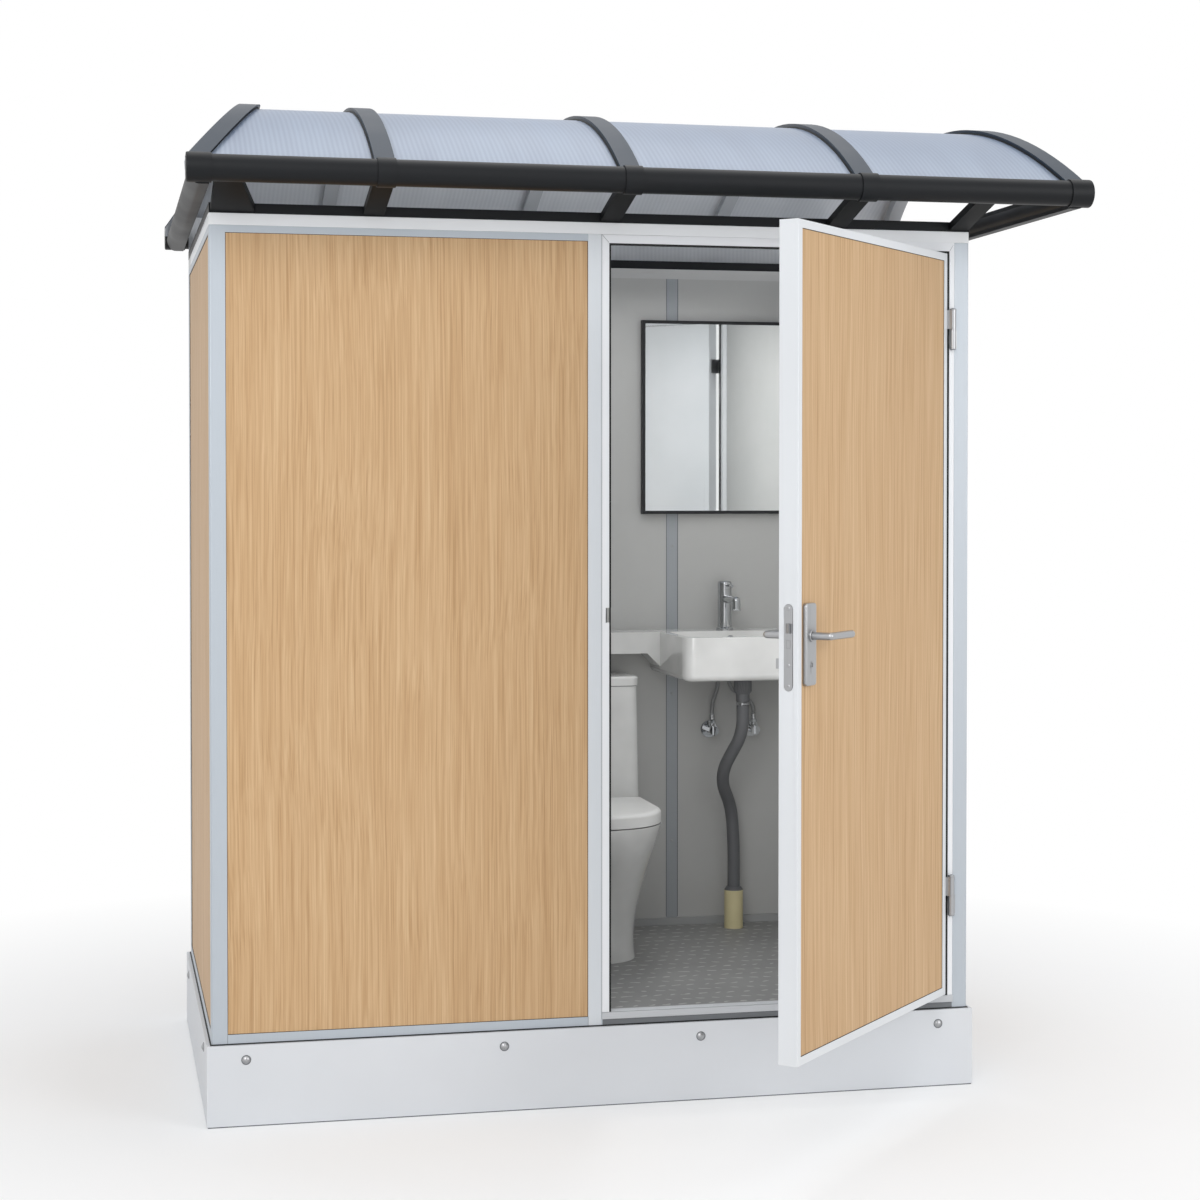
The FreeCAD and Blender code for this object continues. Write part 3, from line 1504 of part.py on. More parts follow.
def make_seat_and_lid():
    """The seat ring and the lid turn on one rod; the lid has a skirt that wraps round the seat."""
    post_out = "seat_post_inner + seat_post_width"
    ear_start = f"{post_out} + seat_ear_gap"
    lid_start = f"{ear_start} + seat_ear_width + seat_ear_gap"
    rod_half = f"({lid_start} + seat_ear_width + seat_ear_gap)"
    pieces = [
        rod(
            "seat_rod",
            "seat_rod_radius",
            "+X",
            (f"toilet_x - {rod_half}", "seat_axis_y", "seat_axis_z"),
            f"2 * {rod_half}",
        )
    ]
    for side, sign in (("left", -1), ("right", 1)):
        near, far = f"toilet_x + {sign} * seat_post_inner", f"toilet_x + {sign} * ({post_out})"
        span = (far, near) if sign < 0 else (near, far)
        post_y = about("seat_axis_y", "2 * seat_ear_radius")
        pieces.append(block(f"seat_post_{side}", span, post_y, ("rim_top", "seat_axis_z + seat_ear_radius")))
    keep("seat_hinge", join("seat_hinge_body", *pieces))
    bore = rod(
        "seat_bore",
        "seat_rod_radius + seat_rod_clearance",
        "+X",
        (f"toilet_x - {rod_half}", "seat_axis_y", "seat_axis_z"),
        f"2 * {rod_half}",
    )
    inset, back = number("seat_inset"), number("seat_back")
    cover_width, cover_front = number("rim_width") - 2 * inset, number("toilet_front") + inset
    skirt = number("lid_skirt")
    room = skirt + number("lid_skirt_fit")
    width, front = cover_width - 2 * room, cover_front + room
    ring, low = number("seat_ring"), number("seat_bottom")
    outline = Part.Face(horseshoe(width, front, back, low))
    hole_length = number("bowl_length") - number("seat_ring") / 2
    hole = Part.Face(oval(front + ring + hole_length / 2, hole_length, width - 2 * ring, low))
    plate = outline.cut(hole).extrude(Vector(0, 0, number("seat_thickness")))
    seat = join("seat_blank", shaped("seat_plate", plate), *seat_ears("seat_ear", ear_start, ("seat_bottom", "seat_top")))
    keep("toilet_seat", cut("seat_bored", seat, bore))
    top = number("lid_bottom + lid_thickness")
    cover = Part.Face(horseshoe(cover_width, cover_front, back, low)).extrude(Vector(0, 0, top - low))
    rims = [edge for edge in cover.Edges if abs(edge.BoundBox.ZMin - top) < 1e-6]
    cover = cover.makeFillet(number("lid_round"), rims)
    inside = Part.Face(horseshoe(cover_width - 2 * skirt, cover_front + skirt, back + skirt, low))
    cover = cover.cut(inside.extrude(Vector(0, 0, number("lid_bottom") - low)))
    lid_web = ("lid_bottom", "seat_axis_z + seat_ear_radius")
    lid = join("lid_blank", shaped("lid_plate", cover), *seat_ears("lid_ear", lid_start, lid_web))
    keep("toilet_lid", cut("lid_bored", lid, bore))


def stepped_pipe(name, x, y, high, kind):
    """An upright pipe with a thinner spigot at its foot, sized by the names that start with its kind."""
    low = f"({high}) - {kind}_length"
    step = f"{low} + {kind}_spigot_length"
    bore = f"{kind}_radius - {kind}_wall"
    profile = [
        (bore, low),
        (f"{kind}_spigot_radius", low),
        (f"{kind}_spigot_radius", step),
        (f"{kind}_radius", step),
        (f"{kind}_radius", high),
        (bore, high),
    ]
    return turned(name, profile, (x, y, "0"))


def make_soil_pipe():
    keep("soil_pipe", stepped_pipe("soil_tube", "toilet_x", "button_y", "floor_top", "soil_pipe"))


# Basin, tap and plumbing

def make_basin():
    """A squared basin on the rear wall with a shelf that runs on along the wall beside it."""
    xs = about("basin_x", "basin_width")
    tub = block("basin_block", xs, ("basin_front", "inner_y"), ("basin_bottom", "rim_z"))
    front = number("basin_front")

    def front_corner(edge):
        return upright(edge) and abs(edge.CenterOfMass.y - front) < 1

    foot = number("basin_bottom")

    def free_foot(edge):
        on_foot = abs(edge.BoundBox.ZMax - foot) < 1e-3
        return on_foot and edge.CenterOfMass.y < number("inner_y") - 1

    round_tub = rounded("basin_round", tub, "basin_corner", front_corner)
    soft_tub = rounded("basin_soft", round_tub, "basin_foot_round", free_foot)
    shelf = block("shelf_block", INSIDE_X, ("inner_y - shelf_depth", "inner_y"), ("rim_z - shelf_height", "rim_z"))
    gusset = prism(
        "shelf_gusset_prism",
        "XZ_Plane",
        [
            (f"{xs[0]} - shelf_gusset", "rim_z - shelf_height"),
            (xs[0], "rim_z - shelf_height"),
            (xs[0], "rim_z - shelf_height - shelf_gusset"),
        ],
        "shelf_depth",
        ("0", "inner_y - shelf_depth", "0"),
    )
    body = join("basin_body", soft_tub, shelf, gusset)
    bowl_depth = number("bowl_back_y - bowl_front_y")
    bowl_width = number("basin_width - 2 * basin_wall")
    taper, corner = number("basin_taper"), number("basin_bowl_corner")
    middle_x, middle_y = number("basin_x"), number("drain_y")
    top = rounded_rectangle(middle_x, middle_y, bowl_width, bowl_depth, corner, number("rim_z"))
    sump = rounded_rectangle(
        middle_x, middle_y, bowl_width - 2 * taper, bowl_depth - 2 * taper, corner, number("drain_z")
    )
    bowl = shaped("basin_bowl", Part.makeLoft([sump, top], True, True))
    drain = rod(
        "basin_drain_hole", "waste_hole_radius", "+Z", ("basin_x", "drain_y", "basin_bottom"), "basin_floor"
    )
    keep("basin_console", cut("basin_cut", cut("basin_hollowed", body, bowl), drain))


def make_tap():
    """A pillar mixer: turned body with a spout, a stem that turns and a cap with a pin that lifts."""
    place = ("basin_x", "tap_y", "rim_z")
    pillar = turned(
        "tap_pillar",
        [
            ("0", "0"),
            ("tap_base_radius", "0"),
            ("tap_base_radius", "tap_base_height"),
            ("tap_radius", "2 * tap_base_height"),
            ("tap_radius", "tap_height"),
            ("0", "tap_height"),
        ],
        place,
    )
    spout = rod("tap_spout", "spout_radius", "-Y", ("basin_x", "tap_y", "rim_z + spout_height"), "spout_reach")
    outlet = rod(
        "tap_outlet",
        "spout_radius",
        "+Z",
        ("basin_x", "tap_y - spout_reach", "rim_z + spout_height - 2 * spout_radius"),
        "2 * spout_radius",
    )
    bend = ball("tap_bend", "spout_radius", "basin_x", "tap_y - spout_reach", "rim_z + spout_height")
    stem_hole = rod(
        "tap_stem_hole",
        "tap_stem_radius + hinge_pin_clearance",
        "+Z",
        ("basin_x", "tap_y", "tap_top - tap_stem_depth"),
        "tap_stem_depth",
    )
    keep("tap_body", cut("tap_bored", join("tap_blank", pillar, spout, outlet, bend), stem_hole))
    shank = rod(
        "tap_shank", "tap_stem_radius", "+Z", ("basin_x", "tap_y", "tap_top - tap_stem_depth"), "tap_stem_depth"
    )
    lug_x = about("basin_x", "tap_stem_lug")
    lug = block("tap_lug", lug_x, about("tap_y", "tap_stem_radius"), ("tap_top", "tap_top + tap_stem_radius"))
    pivot_x = about("basin_x", "tap_pivot_length")
    pivot = rod("tap_pivot", "tap_pivot_radius", "+X", (pivot_x[0], "tap_y", "tap_pivot_z"), "tap_pivot_length")
    keep("tap_stem", join("tap_stem_body", shank, lug, pivot))
    make_tap_handle()


def make_tap_handle():
    """The cap tips up on the stem's pivot pin and is cut away at the back underneath to make room."""
    low = "tap_top + tap_cap_gap"
    high = "tap_top + tap_cap_height"
    drum = rod("tap_cap_drum", "tap_radius", "+Z", ("basin_x", "tap_y", low), f"({high}) - ({low})")

    def top_rim(edge):
        return abs(edge.BoundBox.ZMin - number(high)) < 1e-6 and len(edge.Vertexes) == 1

    cap = rounded("tap_cap_soft", drum, "tap_radius / 3", top_rim)
    rise = "(tap_radius * tan(tap_lift))"
    bevel = prism(
        "tap_cap_bevel",
        "YZ_Plane",
        [("0", low), ("2 * tap_radius", low), ("2 * tap_radius", f"{low} + 2 * {rise}")],
        "4 * tap_radius",
        ("basin_x - 2 * tap_radius", "tap_y", "0"),
    )
    slot = block(
        "tap_cap_slot",
        about("basin_x", "tap_stem_lug + 2 * slide_clearance"),
        about("tap_y", "2 * tap_stem_radius"),
        (low, "tap_top + 1.5 * tap_stem_radius"),
    )
    pin = rod(
        "tap_pin",
        "tap_pin_radius",
        "-Y",
        ("basin_x", "tap_y - tap_stem_radius - slide_clearance", "tap_top + tap_cap_height / 2"),
        "tap_pin_reach - tap_stem_radius",
    )
    bore_x = about("basin_x", "tap_pivot_length + 2 * slide_clearance")
    bore = rod(
        "tap_cap_bore",
        "tap_pivot_radius + hinge_pin_clearance",
        "+X",
        (bore_x[0], "tap_y", "tap_pivot_z"),
        "tap_pivot_length + 2 * slide_clearance",
    )
    hollow = cut("tap_cap_hollow", cap, join("tap_cap_room", bevel, slot, bore))
    keep("tap_handle", join("tap_handle_body", hollow, pin))


def make_waste():
    """The basin waste with its flange, a guide web for the plug, and a union nut under the basin."""
    centre = ("basin_x", "drain_y")
    barrel = "waste_hole_radius - waste_fit"
    profile = [
        ("waste_bore_radius", "tail_bottom"),
        ("hose_radius", "tail_bottom"),
        ("hose_radius", "basin_bottom - waste_nut_height"),
        ("waste_nut_radius", "basin_bottom - waste_nut_height"),
        ("waste_nut_radius", "basin_bottom"),
        (barrel, "basin_bottom"),
        (barrel, "drain_z"),
        ("waste_flange_radius", "drain_z"),
        ("waste_flange_radius", "drain_z + waste_flange"),
        ("waste_bore_radius", "drain_z + waste_flange"),
    ]
    tube = turned("waste_tube", profile, (*centre, "0"))
    web_z = ("basin_bottom - plug_web", "basin_bottom")
    web = block("plug_guide", about("basin_x", "2 * waste_bore_radius + 1"), about("drain_y", "2 * plug_web"), web_z)
    guide = rod(
        "plug_guide_hole",
        "plug_stem_radius + hinge_pin_clearance",
        "+Z",
        (*centre, web_z[0]),
        "plug_web",
    )
    keep("basin_waste", join("waste_body", tube, cut("plug_guide_bored", web, guide)))
    seat = "drain_z + waste_flange"
    plug = turned(
        "plug_turned",
        [
            ("0", f"{seat} - plug_stem_length"),
            ("plug_stem_radius", f"{seat} - plug_stem_length"),
            ("plug_stem_radius", seat),
            ("plug_radius", seat),
            ("plug_radius - plug_height / 2", f"{seat} + plug_height"),
            ("0", f"{seat} + plug_height"),
        ],
        (*centre, "0"),
    )
    keep("waste_plug", plug)


def bent_tube(points, radius):
    """A round tube on straight runs joined by tangent arcs, each as large as its two runs allow."""
    edges, start = [], points[0]
    for before, corner, after in zip(points, points[1:], points[2:]):
        back, ahead = (before - corner), (after - corner)
        reach = 0.45 * min(back.Length, ahead.Length)
        enter = corner + Vector(back).normalize() * reach
        leave = corner + Vector(ahead).normalize() * reach
        turn = math.pi - back.getAngle(ahead)
        bend_radius = reach / math.tan(turn / 2)
        inward = (Vector(back).normalize() + Vector(ahead).normalize()).normalize()
        top = corner + inward * (math.hypot(bend_radius, reach) - bend_radius)
        print(f"tube bend radius {bend_radius:.0f} mm")
        edges.append(Part.LineSegment(start, enter).toShape())
        edges.append(Part.Arc(enter, top, leave).toShape())
        start = leave
    edges.append(Part.LineSegment(start, points[-1]).toShape())
    path = Part.Wire(edges)
    section = Part.Wire([Part.Circle(points[0], points[1] - points[0], radius).toShape()])
    tube = path.makePipeShell([section], True, False)
    expected = math.pi * radius ** 2 * path.Length
    if abs(tube.Volume - expected) > 0.01 * expected:
        raise RuntimeError("a bent tube's volume does not match its section and length")
    return tube


def make_drain_hose():
    """The grey hose from the basin tail to the stub in the floor, and the reducer it goes in through."""
    start = point("basin_x", "drain_y", "tail_bottom")
    end = point("stub_x", "stub_y", "stub_top - reducer_height")
    entry = number("hose_entry")
    points = [
        start,
        start - Vector(0, 0, number("hose_tail_run")),
        start + point("-hose_bow", "hose_bow_step", "-hose_bow_drop"),
        end + Vector(-entry, -entry, number("hose_entry_high")),
        end + Vector(0, 0, number("hose_entry_low")),
        end,
    ]
    outer = bent_tube(points, number("hose_radius"))
    inner = bent_tube(points, number("hose_radius - hose_wall"))
    reducer = turned(
        "hose_reducer",
        [
            ("hose_radius", "stub_top - reducer_height"),
            ("stub_radius - stub_wall", "stub_top - reducer_height"),
            ("stub_radius - stub_wall", "stub_top"),
            ("stub_radius", "stub_top"),
            ("stub_radius - stub_wall", "stub_top + reducer_height"),
            ("hose_radius", "stub_top + reducer_height"),
        ],
        ("stub_x", "stub_y", "0"),
    )
    keep("drain_hose", shaped("drain_hose_tube", outer.cut(inner)), reducer)
    keep("waste_stub", stepped_pipe("stub_tube", "stub_x", "stub_y", "stub_top", "stub"))


def make_valves():
    """Angle valves on the rear wall, each with a knob and a flexible hose up to the basin."""
    valves, hoses = [], []
    for label, sign in (("hot_valve_knob", -1), ("cold_valve_knob", 1)):
        x = f"basin_x + valve_offset + {sign} * valve_spacing / 2"
        flange = rod(f"{label}_flange", "valve_flange_radius", "-Y", (x, "inner_y", "valve_z"), "valve_flange")
        barrel = rod(f"{label}_barrel", "valve_radius", "-Y", (x, "inner_y", "valve_z"), "valve_reach")
        outlet = rod(
            f"{label}_outlet", "valve_outlet_radius", "+Z", (x, "outlet_y", "valve_z"), "valve_outlet_height"
        )
        valves.append(join(f"{label}_valve", flange, barrel, outlet))
        face = "inner_y - valve_reach - knob_gap"
        grip = rod(f"{label}_grip", "knob_radius", "-Y", (x, face, "valve_z"), "knob_depth / 2")
        wing = block(
            f"{label}_wing",
            about(x, "knob_radius / 2"),
            (f"{face} - knob_depth", face),
            about("valve_z", "2 * knob_radius - 1"),
        )
        keep(label, join(f"{label}_body", grip, wing))
        low = point(x, "outlet_y", "valve_z + valve_outlet_height")
        high = point(f"basin_x + {sign} * supply_spacing / 2", "outlet_y", "basin_bottom")
        rise = (high.z - low.z) / 3
        points = [low, low + Vector(0, 0, rise), high - Vector(0, 0, rise), high]
        hoses.append(shaped(f"{label}_hose", bent_tube(points, number("supply_radius"))))
    keep("angle_valves", *valves)
    keep("supply_hoses", *hoses)


def make_mirror():
    """A framed mirror on the rear wall above the basin."""
    xs = about("basin_x", "mirror_width")
    zs = ("mirror_z", "mirror_z + mirror_height")
    ys = ("inner_y - mirror_frame_depth", "inner_y")
    in_x = (f"{xs[0]} + mirror_frame_width", f"{xs[1]} - mirror_frame_width")
    in_z = (f"{zs[0]} + mirror_frame_width", f"{zs[1]} - mirror_frame_width")
    front = f"{ys[0]} + mirror_set_back"
    keep(
        "mirror_frame",
        block("mirror_left_bar", (xs[0], in_x[0]), ys, zs),
        block("mirror_right_bar", (in_x[1], xs[1]), ys, zs),
        block("mirror_low_bar", in_x, ys, (zs[0], in_z[0])),
        block("mirror_high_bar", in_x, ys, (in_z[1], zs[1])),
        block("mirror_board", in_x, (f"{front} + mirror_glass", "inner_y"), in_z),
    )
    keep("mirror_pane", block("mirror_glass_sheet", in_x, (front, f"{front} + mirror_glass"), in_z))


def check_and_write():
    """Stops on any failed object or bad shape, then writes each sub-part."""
    doc.recompute()
    failed = [item.Name for item in doc.Objects if {"Invalid", "Error"} & set(item.State)]
    if failed:
        raise RuntimeError(f"failed objects: {failed}")
    for item in subparts:
        if item.Shape.isNull() or not item.Shape.isValid() or not item.Shape.Solids:
            raise RuntimeError(f"bad shape: {item.Label}")
    os.makedirs("parts", exist_ok=True)
    for item in subparts:
        item.Shape.exportStep(f"parts/{item.Label}.step")
    print(f"{len(subparts)} sub-parts written")


make_base()
make_plinth()
make_floor()
make_frame()
make_walls()
make_casing()
make_sill_and_gasket()
make_strike()
make_hinges()
make_door_leaf()
make_lock()
make_handles()
make_eaves()
make_vault()
make_toilet_body()
make_cistern_lid()
make_seat_and_lid()
make_soil_pipe()
make_basin()
make_tap()
make_waste()
make_drain_hose()
make_valves()
make_mirror()
check_and_write()
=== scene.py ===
import json
import math

import bmesh
import bpy
from mathutils import Matrix, Vector


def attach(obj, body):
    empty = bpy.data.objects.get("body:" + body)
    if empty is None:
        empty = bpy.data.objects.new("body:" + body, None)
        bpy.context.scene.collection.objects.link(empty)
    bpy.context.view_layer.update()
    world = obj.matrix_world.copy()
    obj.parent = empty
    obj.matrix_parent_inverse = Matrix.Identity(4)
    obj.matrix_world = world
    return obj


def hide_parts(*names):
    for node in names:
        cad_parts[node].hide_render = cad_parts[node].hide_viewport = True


# Looks for the modular bathroom unit: materials, small details, studio light and the photograph's view.

# The photograph's camera, in metres and radians: 69 mm on a 36 mm sensor, a little above mid-height.
CAMERA_PLACE = (-1.289, -6.388, 1.582)
CAMERA_YAW = 0.218
CAMERA_PITCH = 0.02
CAMERA_LENS = 69.0
CAMERA_SHIFT = -0.05

# The roof's arch: the sheet's mid radius, and the place of its axis over the depth and the height.
VAULT_RADIUS = 1.33493
VAULT_MIDDLE = -0.075
VAULT_AXIS = 2.604 - VAULT_RADIUS

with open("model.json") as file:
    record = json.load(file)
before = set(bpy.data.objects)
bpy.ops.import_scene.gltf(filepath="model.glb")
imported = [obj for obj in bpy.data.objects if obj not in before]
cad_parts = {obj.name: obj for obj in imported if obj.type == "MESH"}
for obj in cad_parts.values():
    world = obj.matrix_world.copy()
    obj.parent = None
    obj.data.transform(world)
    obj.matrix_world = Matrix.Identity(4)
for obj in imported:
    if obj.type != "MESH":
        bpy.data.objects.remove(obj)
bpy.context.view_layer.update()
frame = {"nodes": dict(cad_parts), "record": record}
nodes = frame["nodes"]


# Colours and shader trees

def shade(code):
    """A colour written as six hexadecimal digits, as the linear values that shaders use."""
    parts = [int(code[i:i + 2], 16) / 255 for i in (0, 2, 4)]
    linear = [p / 12.92 if p <= 0.04045 else ((p + 0.055) / 1.055) ** 2.4 for p in parts]
    return (*linear, 1.0)


class Paint:
    """A material's node tree, with short ways to add nodes and join them."""

    def __init__(self, name, **constants):
        self.material = bpy.data.materials.new(name)
        self.material.use_nodes = True
        self.tree = self.material.node_tree
        self.shader = self.tree.nodes["Principled BSDF"]
        for socket, value in constants.items():
            self.set(socket.replace("_", " "), value)

    def set(self, socket, value):
        """Sets or links one of the shader's own sockets."""
        self.feed(self.shader.inputs[socket], value)

    def feed(self, target, value):
        if isinstance(value, bpy.types.NodeSocket):
            self.tree.links.new(value, target)
        else:
            target.default_value = value

    def node(self, kind, inputs=None, **settings):
        made = self.tree.nodes.new(kind)
        for setting, value in settings.items():
            setattr(made, setting, value)
        for socket, value in (inputs or {}).items():
            self.feed(made.inputs[socket], value)
        return made

    def place(self, scale=(1, 1, 1)):
        """Positions in the object's own frame, stretched by a scale."""
        coords = self.node("ShaderNodeTexCoord").outputs["Object"]
        return self.node("ShaderNodeMapping", {"Vector": coords, "Scale": scale}).outputs[0]

    def axes(self, scale=(1, 1, 1)):
        """The three coordinates of those positions."""
        return self.node("ShaderNodeSeparateXYZ", {"Vector": self.place(scale)}).outputs

    def noise(self, vector, scale=1.0, detail=2.0, roughness=0.5):
        inputs = {"Vector": vector, "Scale": scale, "Detail": detail, "Roughness": roughness}
        return self.node("ShaderNodeTexNoise", inputs).outputs["Fac"]

    def ramp(self, factor, *stops):
        """A colour ramp through (position, colour) stops."""
        made = self.node("ShaderNodeValToRGB", {"Fac": factor})
        elements = made.color_ramp.elements
        while len(elements) < len(stops):
            elements.new(0.5)
        for element, (position, colour) in zip(elements, stops):
            element.position = position
            element.color = colour
        return made.outputs["Color"]

    def math(self, operation, first, second=0.0, third=0.0):
        made = self.node("ShaderNodeMath", operation=operation)
        for target, value in zip(made.inputs, (first, second, third)):
            self.feed(target, value)
        return made.outputs[0]

    def span(self, value, low, high, start=0.0, end=1.0):
        """A value mapped from one range to another and held at its ends."""
        inputs = {"Value": value, "From Min": low, "From Max": high, "To Min": start, "To Max": end}
        return self.node("ShaderNodeMapRange", inputs).outputs[0]

    def toned(self, factor, code, share):
        """A colour that wavers with a factor down to a share of its own brightness."""
        base = shade(code)
        return self.ramp(factor, (0.3, dimmed(base, share)), (0.7, base))

    def mix(self, factor, first, second):
        made = self.node("ShaderNodeMix", data_type="RGBA")
        for target, value in zip((made.inputs[0], made.inputs[6], made.inputs[7]), (factor, first, second)):
            self.feed(target, value)
        return made.outputs[2]

    def bump(self, height, strength, distance):
        inputs = {"Height": height, "Strength": strength, "Distance": distance}
        self.set("Normal", self.node("ShaderNodeBump", inputs).outputs[0])


def grey(value):
    return (value, value, value, 1.0)


def dimmed(colour, share):
    """A colour at a share of its brightness."""
    return tuple(c * share for c in colour[:3]) + (1.0,)


# Materials

def wood_panel():
    """Straight-grained pale oak foil: fine upright streaks, faint bands and short dark pores."""
    paint = Paint("wood_panel", Specular_IOR_Level=0.35)
    drift = paint.noise(paint.place((1.5, 1.5, 0.7)), 1.0, 3.0)
    lean = paint.node("ShaderNodeVectorMath", operation="MULTIPLY_ADD")
    paint.feed(lean.inputs[0], drift)
    lean.inputs[1].default_value = (0.05, 0.05, 0.0)
    paint.feed(lean.inputs[2], paint.place())

    def stretched(x, z):
        return paint.node("ShaderNodeMapping", {"Vector": lean.outputs[0], "Scale": (x, x, z)}).outputs[0]

    streaks = paint.noise(stretched(240, 2.4), 1.0, 2.0, 0.55)
    hairs = paint.noise(stretched(560, 5), 1.0, 1.0)
    broad = paint.noise(stretched(90, 0.8), 1.0, 1.0)
    bands = paint.noise(stretched(12, 0.3), 1.0, 2.0)
    pores = paint.noise(stretched(420, 12), 1.0, 1.0)
    tone = paint.math("MULTIPLY", streaks, 0.55)
    for layer, share in ((hairs, 0.17), (broad, 0.16), (bands, 0.12)):
        tone = paint.math("MULTIPLY_ADD", layer, share, tone)
    colour = paint.ramp(
        tone,
        (0.36, shade("B38E64")),
        (0.46, shade("C29E74")),
        (0.54, shade("C9A67D")),
        (0.64, shade("D2B289")),
    )
    dark = paint.span(pores, 0.60, 0.74, 0.0, 0.20)
    paint.set("Base Color", paint.mix(dark, colour, shade("A07A52")))
    paint.bump(paint.math("SUBTRACT", streaks, dark), 0.10, 0.0006)
    paint.set("Roughness", paint.span(streaks, 0.3, 0.7, 0.58, 0.46))
    return paint.material


def coated(name, code, roughness, mottle, gloss=0.45, room_shade=None):
    """Powder-coated metal: a fine orange-peel skin with a faint unevenness in its tone.

    The rear wall's room side can get a darker tone of its own, painted shade inside the room.
    """
    paint = Paint(name, Specular_IOR_Level=gloss)
    cloud = paint.noise(paint.place(), 3.0, 3.0)
    share = 1 - mottle * 2
    colour = paint.toned(cloud, code, share)
    # Painted shade: the room side of the rear wall takes the darker tone.
    if room_shade:
        where = paint.axes()
        rear = paint.span(where[1], 0.40, 0.45)
        inner = paint.math("MULTIPLY", rear, paint.span(where[1], 0.565, 0.575, 1.0, 0.0))
        colour = paint.mix(inner, colour, paint.toned(cloud, room_shade, share))
    paint.set("Base Color", colour)
    paint.set("Roughness", paint.span(cloud, 0.3, 0.7, roughness - 0.05, roughness + 0.07))
    paint.bump(paint.noise(paint.place(), 900.0, 2.0), 0.06, 0.0004)
    return paint.material


def drawn_metal(name, code, roughness, metal, along=(1400, 1400, 12), streak=0.12, rear=None):
    """Drawn or brushed metal with hair lines along its length.

    The rear wall can get a darker tone of its own, painted shade inside the room.
    """
    paint = Paint(name, Metallic=metal)
    lines = paint.noise(paint.place(along), 1.0, 3.0, 0.6)
    colour = paint.toned(lines, code, 1 - streak)
    # Painted shade: the rear wall, inside the room, takes the darker tone.
    if rear:
        where = paint.axes()
        colour = paint.mix(paint.span(where[1], -0.1, 0.1), colour, paint.toned(lines, rear, 1 - streak))
    paint.set("Base Color", colour)
    paint.set("Roughness", paint.span(lines, 0.3, 0.7, roughness + 0.06, roughness - 0.06))
    paint.bump(lines, 0.05, 0.0003)
    return paint.material


def polished(name, code, roughness):
    """Plated metal with a faint haze of water marks."""
    paint = Paint(name, Metallic=1.0)
    haze = paint.noise(paint.place(), 40.0, 4.0)
    base = shade(code)
    paint.set("Base Color", paint.ramp(haze, (0.35, dimmed(base, 0.93)), (0.65, base)))
    paint.set("Roughness", paint.span(haze, 0.35, 0.75, roughness, roughness + 0.06))
    return paint.material


def glazed():
    """White sanitary glaze: a clear coat over a body with a very slight waver."""
    paint = Paint("ceramic", Coat_Weight=0.6, Coat_Roughness=0.06)
    waver = paint.noise(paint.place(), 9.0, 2.0)
    paint.set("Base Color", paint.ramp(waver, (0.3, shade("D2D2D0")), (0.7, shade("DDDDDB"))))
    paint.set("Roughness", paint.span(waver, 0.3, 0.7, 0.18, 0.26))
    paint.bump(waver, 0.05, 0.002)
    return paint.material


def moulded(name, code, roughness, grain=500.0, depth=0.08, mottle=0.06):
    """Moulded plastic or rubber with a fine spark texture."""
    paint = Paint(name, Specular_IOR_Level=0.4)
    cloud = paint.noise(paint.place(), 14.0, 4.0)
    paint.set("Base Color", paint.toned(cloud, code, 1 - mottle))
    paint.set("Roughness", paint.span(cloud, 0.3, 0.7, roughness - 0.06, roughness + 0.06))
    paint.bump(paint.noise(paint.place(), grain, 2.0), depth, 0.0005)
    return paint.material


def vinyl_floor():
    """Grey sheet vinyl with short raised dashes, staggered and tilted from row to row; the dashes are
    painted paler as a painted highlight on their raised tops.
    """
    pitch, row_pitch = 0.042, 0.056
    paint = Paint("floor_vinyl", Specular_IOR_Level=0.4)
    where = paint.axes((1 / pitch, 1 / row_pitch, 1))
    stray = paint.span(paint.noise(paint.place(), 30.0, 1.0), 0.3, 0.7, -0.2, 0.2)
    odd = paint.math("PINGPONG", paint.math("FLOOR", where[1]), 1.0)
    shifted = paint.math("ADD", paint.math("MULTIPLY_ADD", odd, 0.5, where[0]), stray)
    across = paint.math("SUBTRACT", paint.math("FRACT", shifted), 0.5)
    ahead = paint.math("SUBTRACT", paint.math("FRACT", where[1]), 0.5)
    tilt = paint.math("MULTIPLY_ADD", odd, 0.6, -0.3)
    tilted = paint.math("MULTIPLY_ADD", across, tilt, ahead)
    reach = paint.math(
        "ADD",
        paint.math("POWER", paint.math("MULTIPLY", across, 3.4), 2.0),
        paint.math("POWER", paint.math("MULTIPLY", tilted, 10.0), 2.0),
    )
    dash = paint.span(reach, 0.45, 1.0, 1.0, 0.0)
    scuffs = paint.noise(paint.place(), 6.0, 5.0)
    ground = paint.ramp(scuffs, (0.3, shade("8B8B8A")), (0.7, shade("959594")))
    # Painted highlight: the dashes are painted paler than the ground, for the light that catches their
    # raised tops.
    paint.set("Base Color", paint.mix(paint.math("MULTIPLY", dash, 0.7), ground, shade("C2C2C0")))
    paint.set("Roughness", paint.span(dash, 0.0, 1.0, 0.55, 0.36))
    paint.bump(dash, 0.5, 0.0010)
    return paint.material


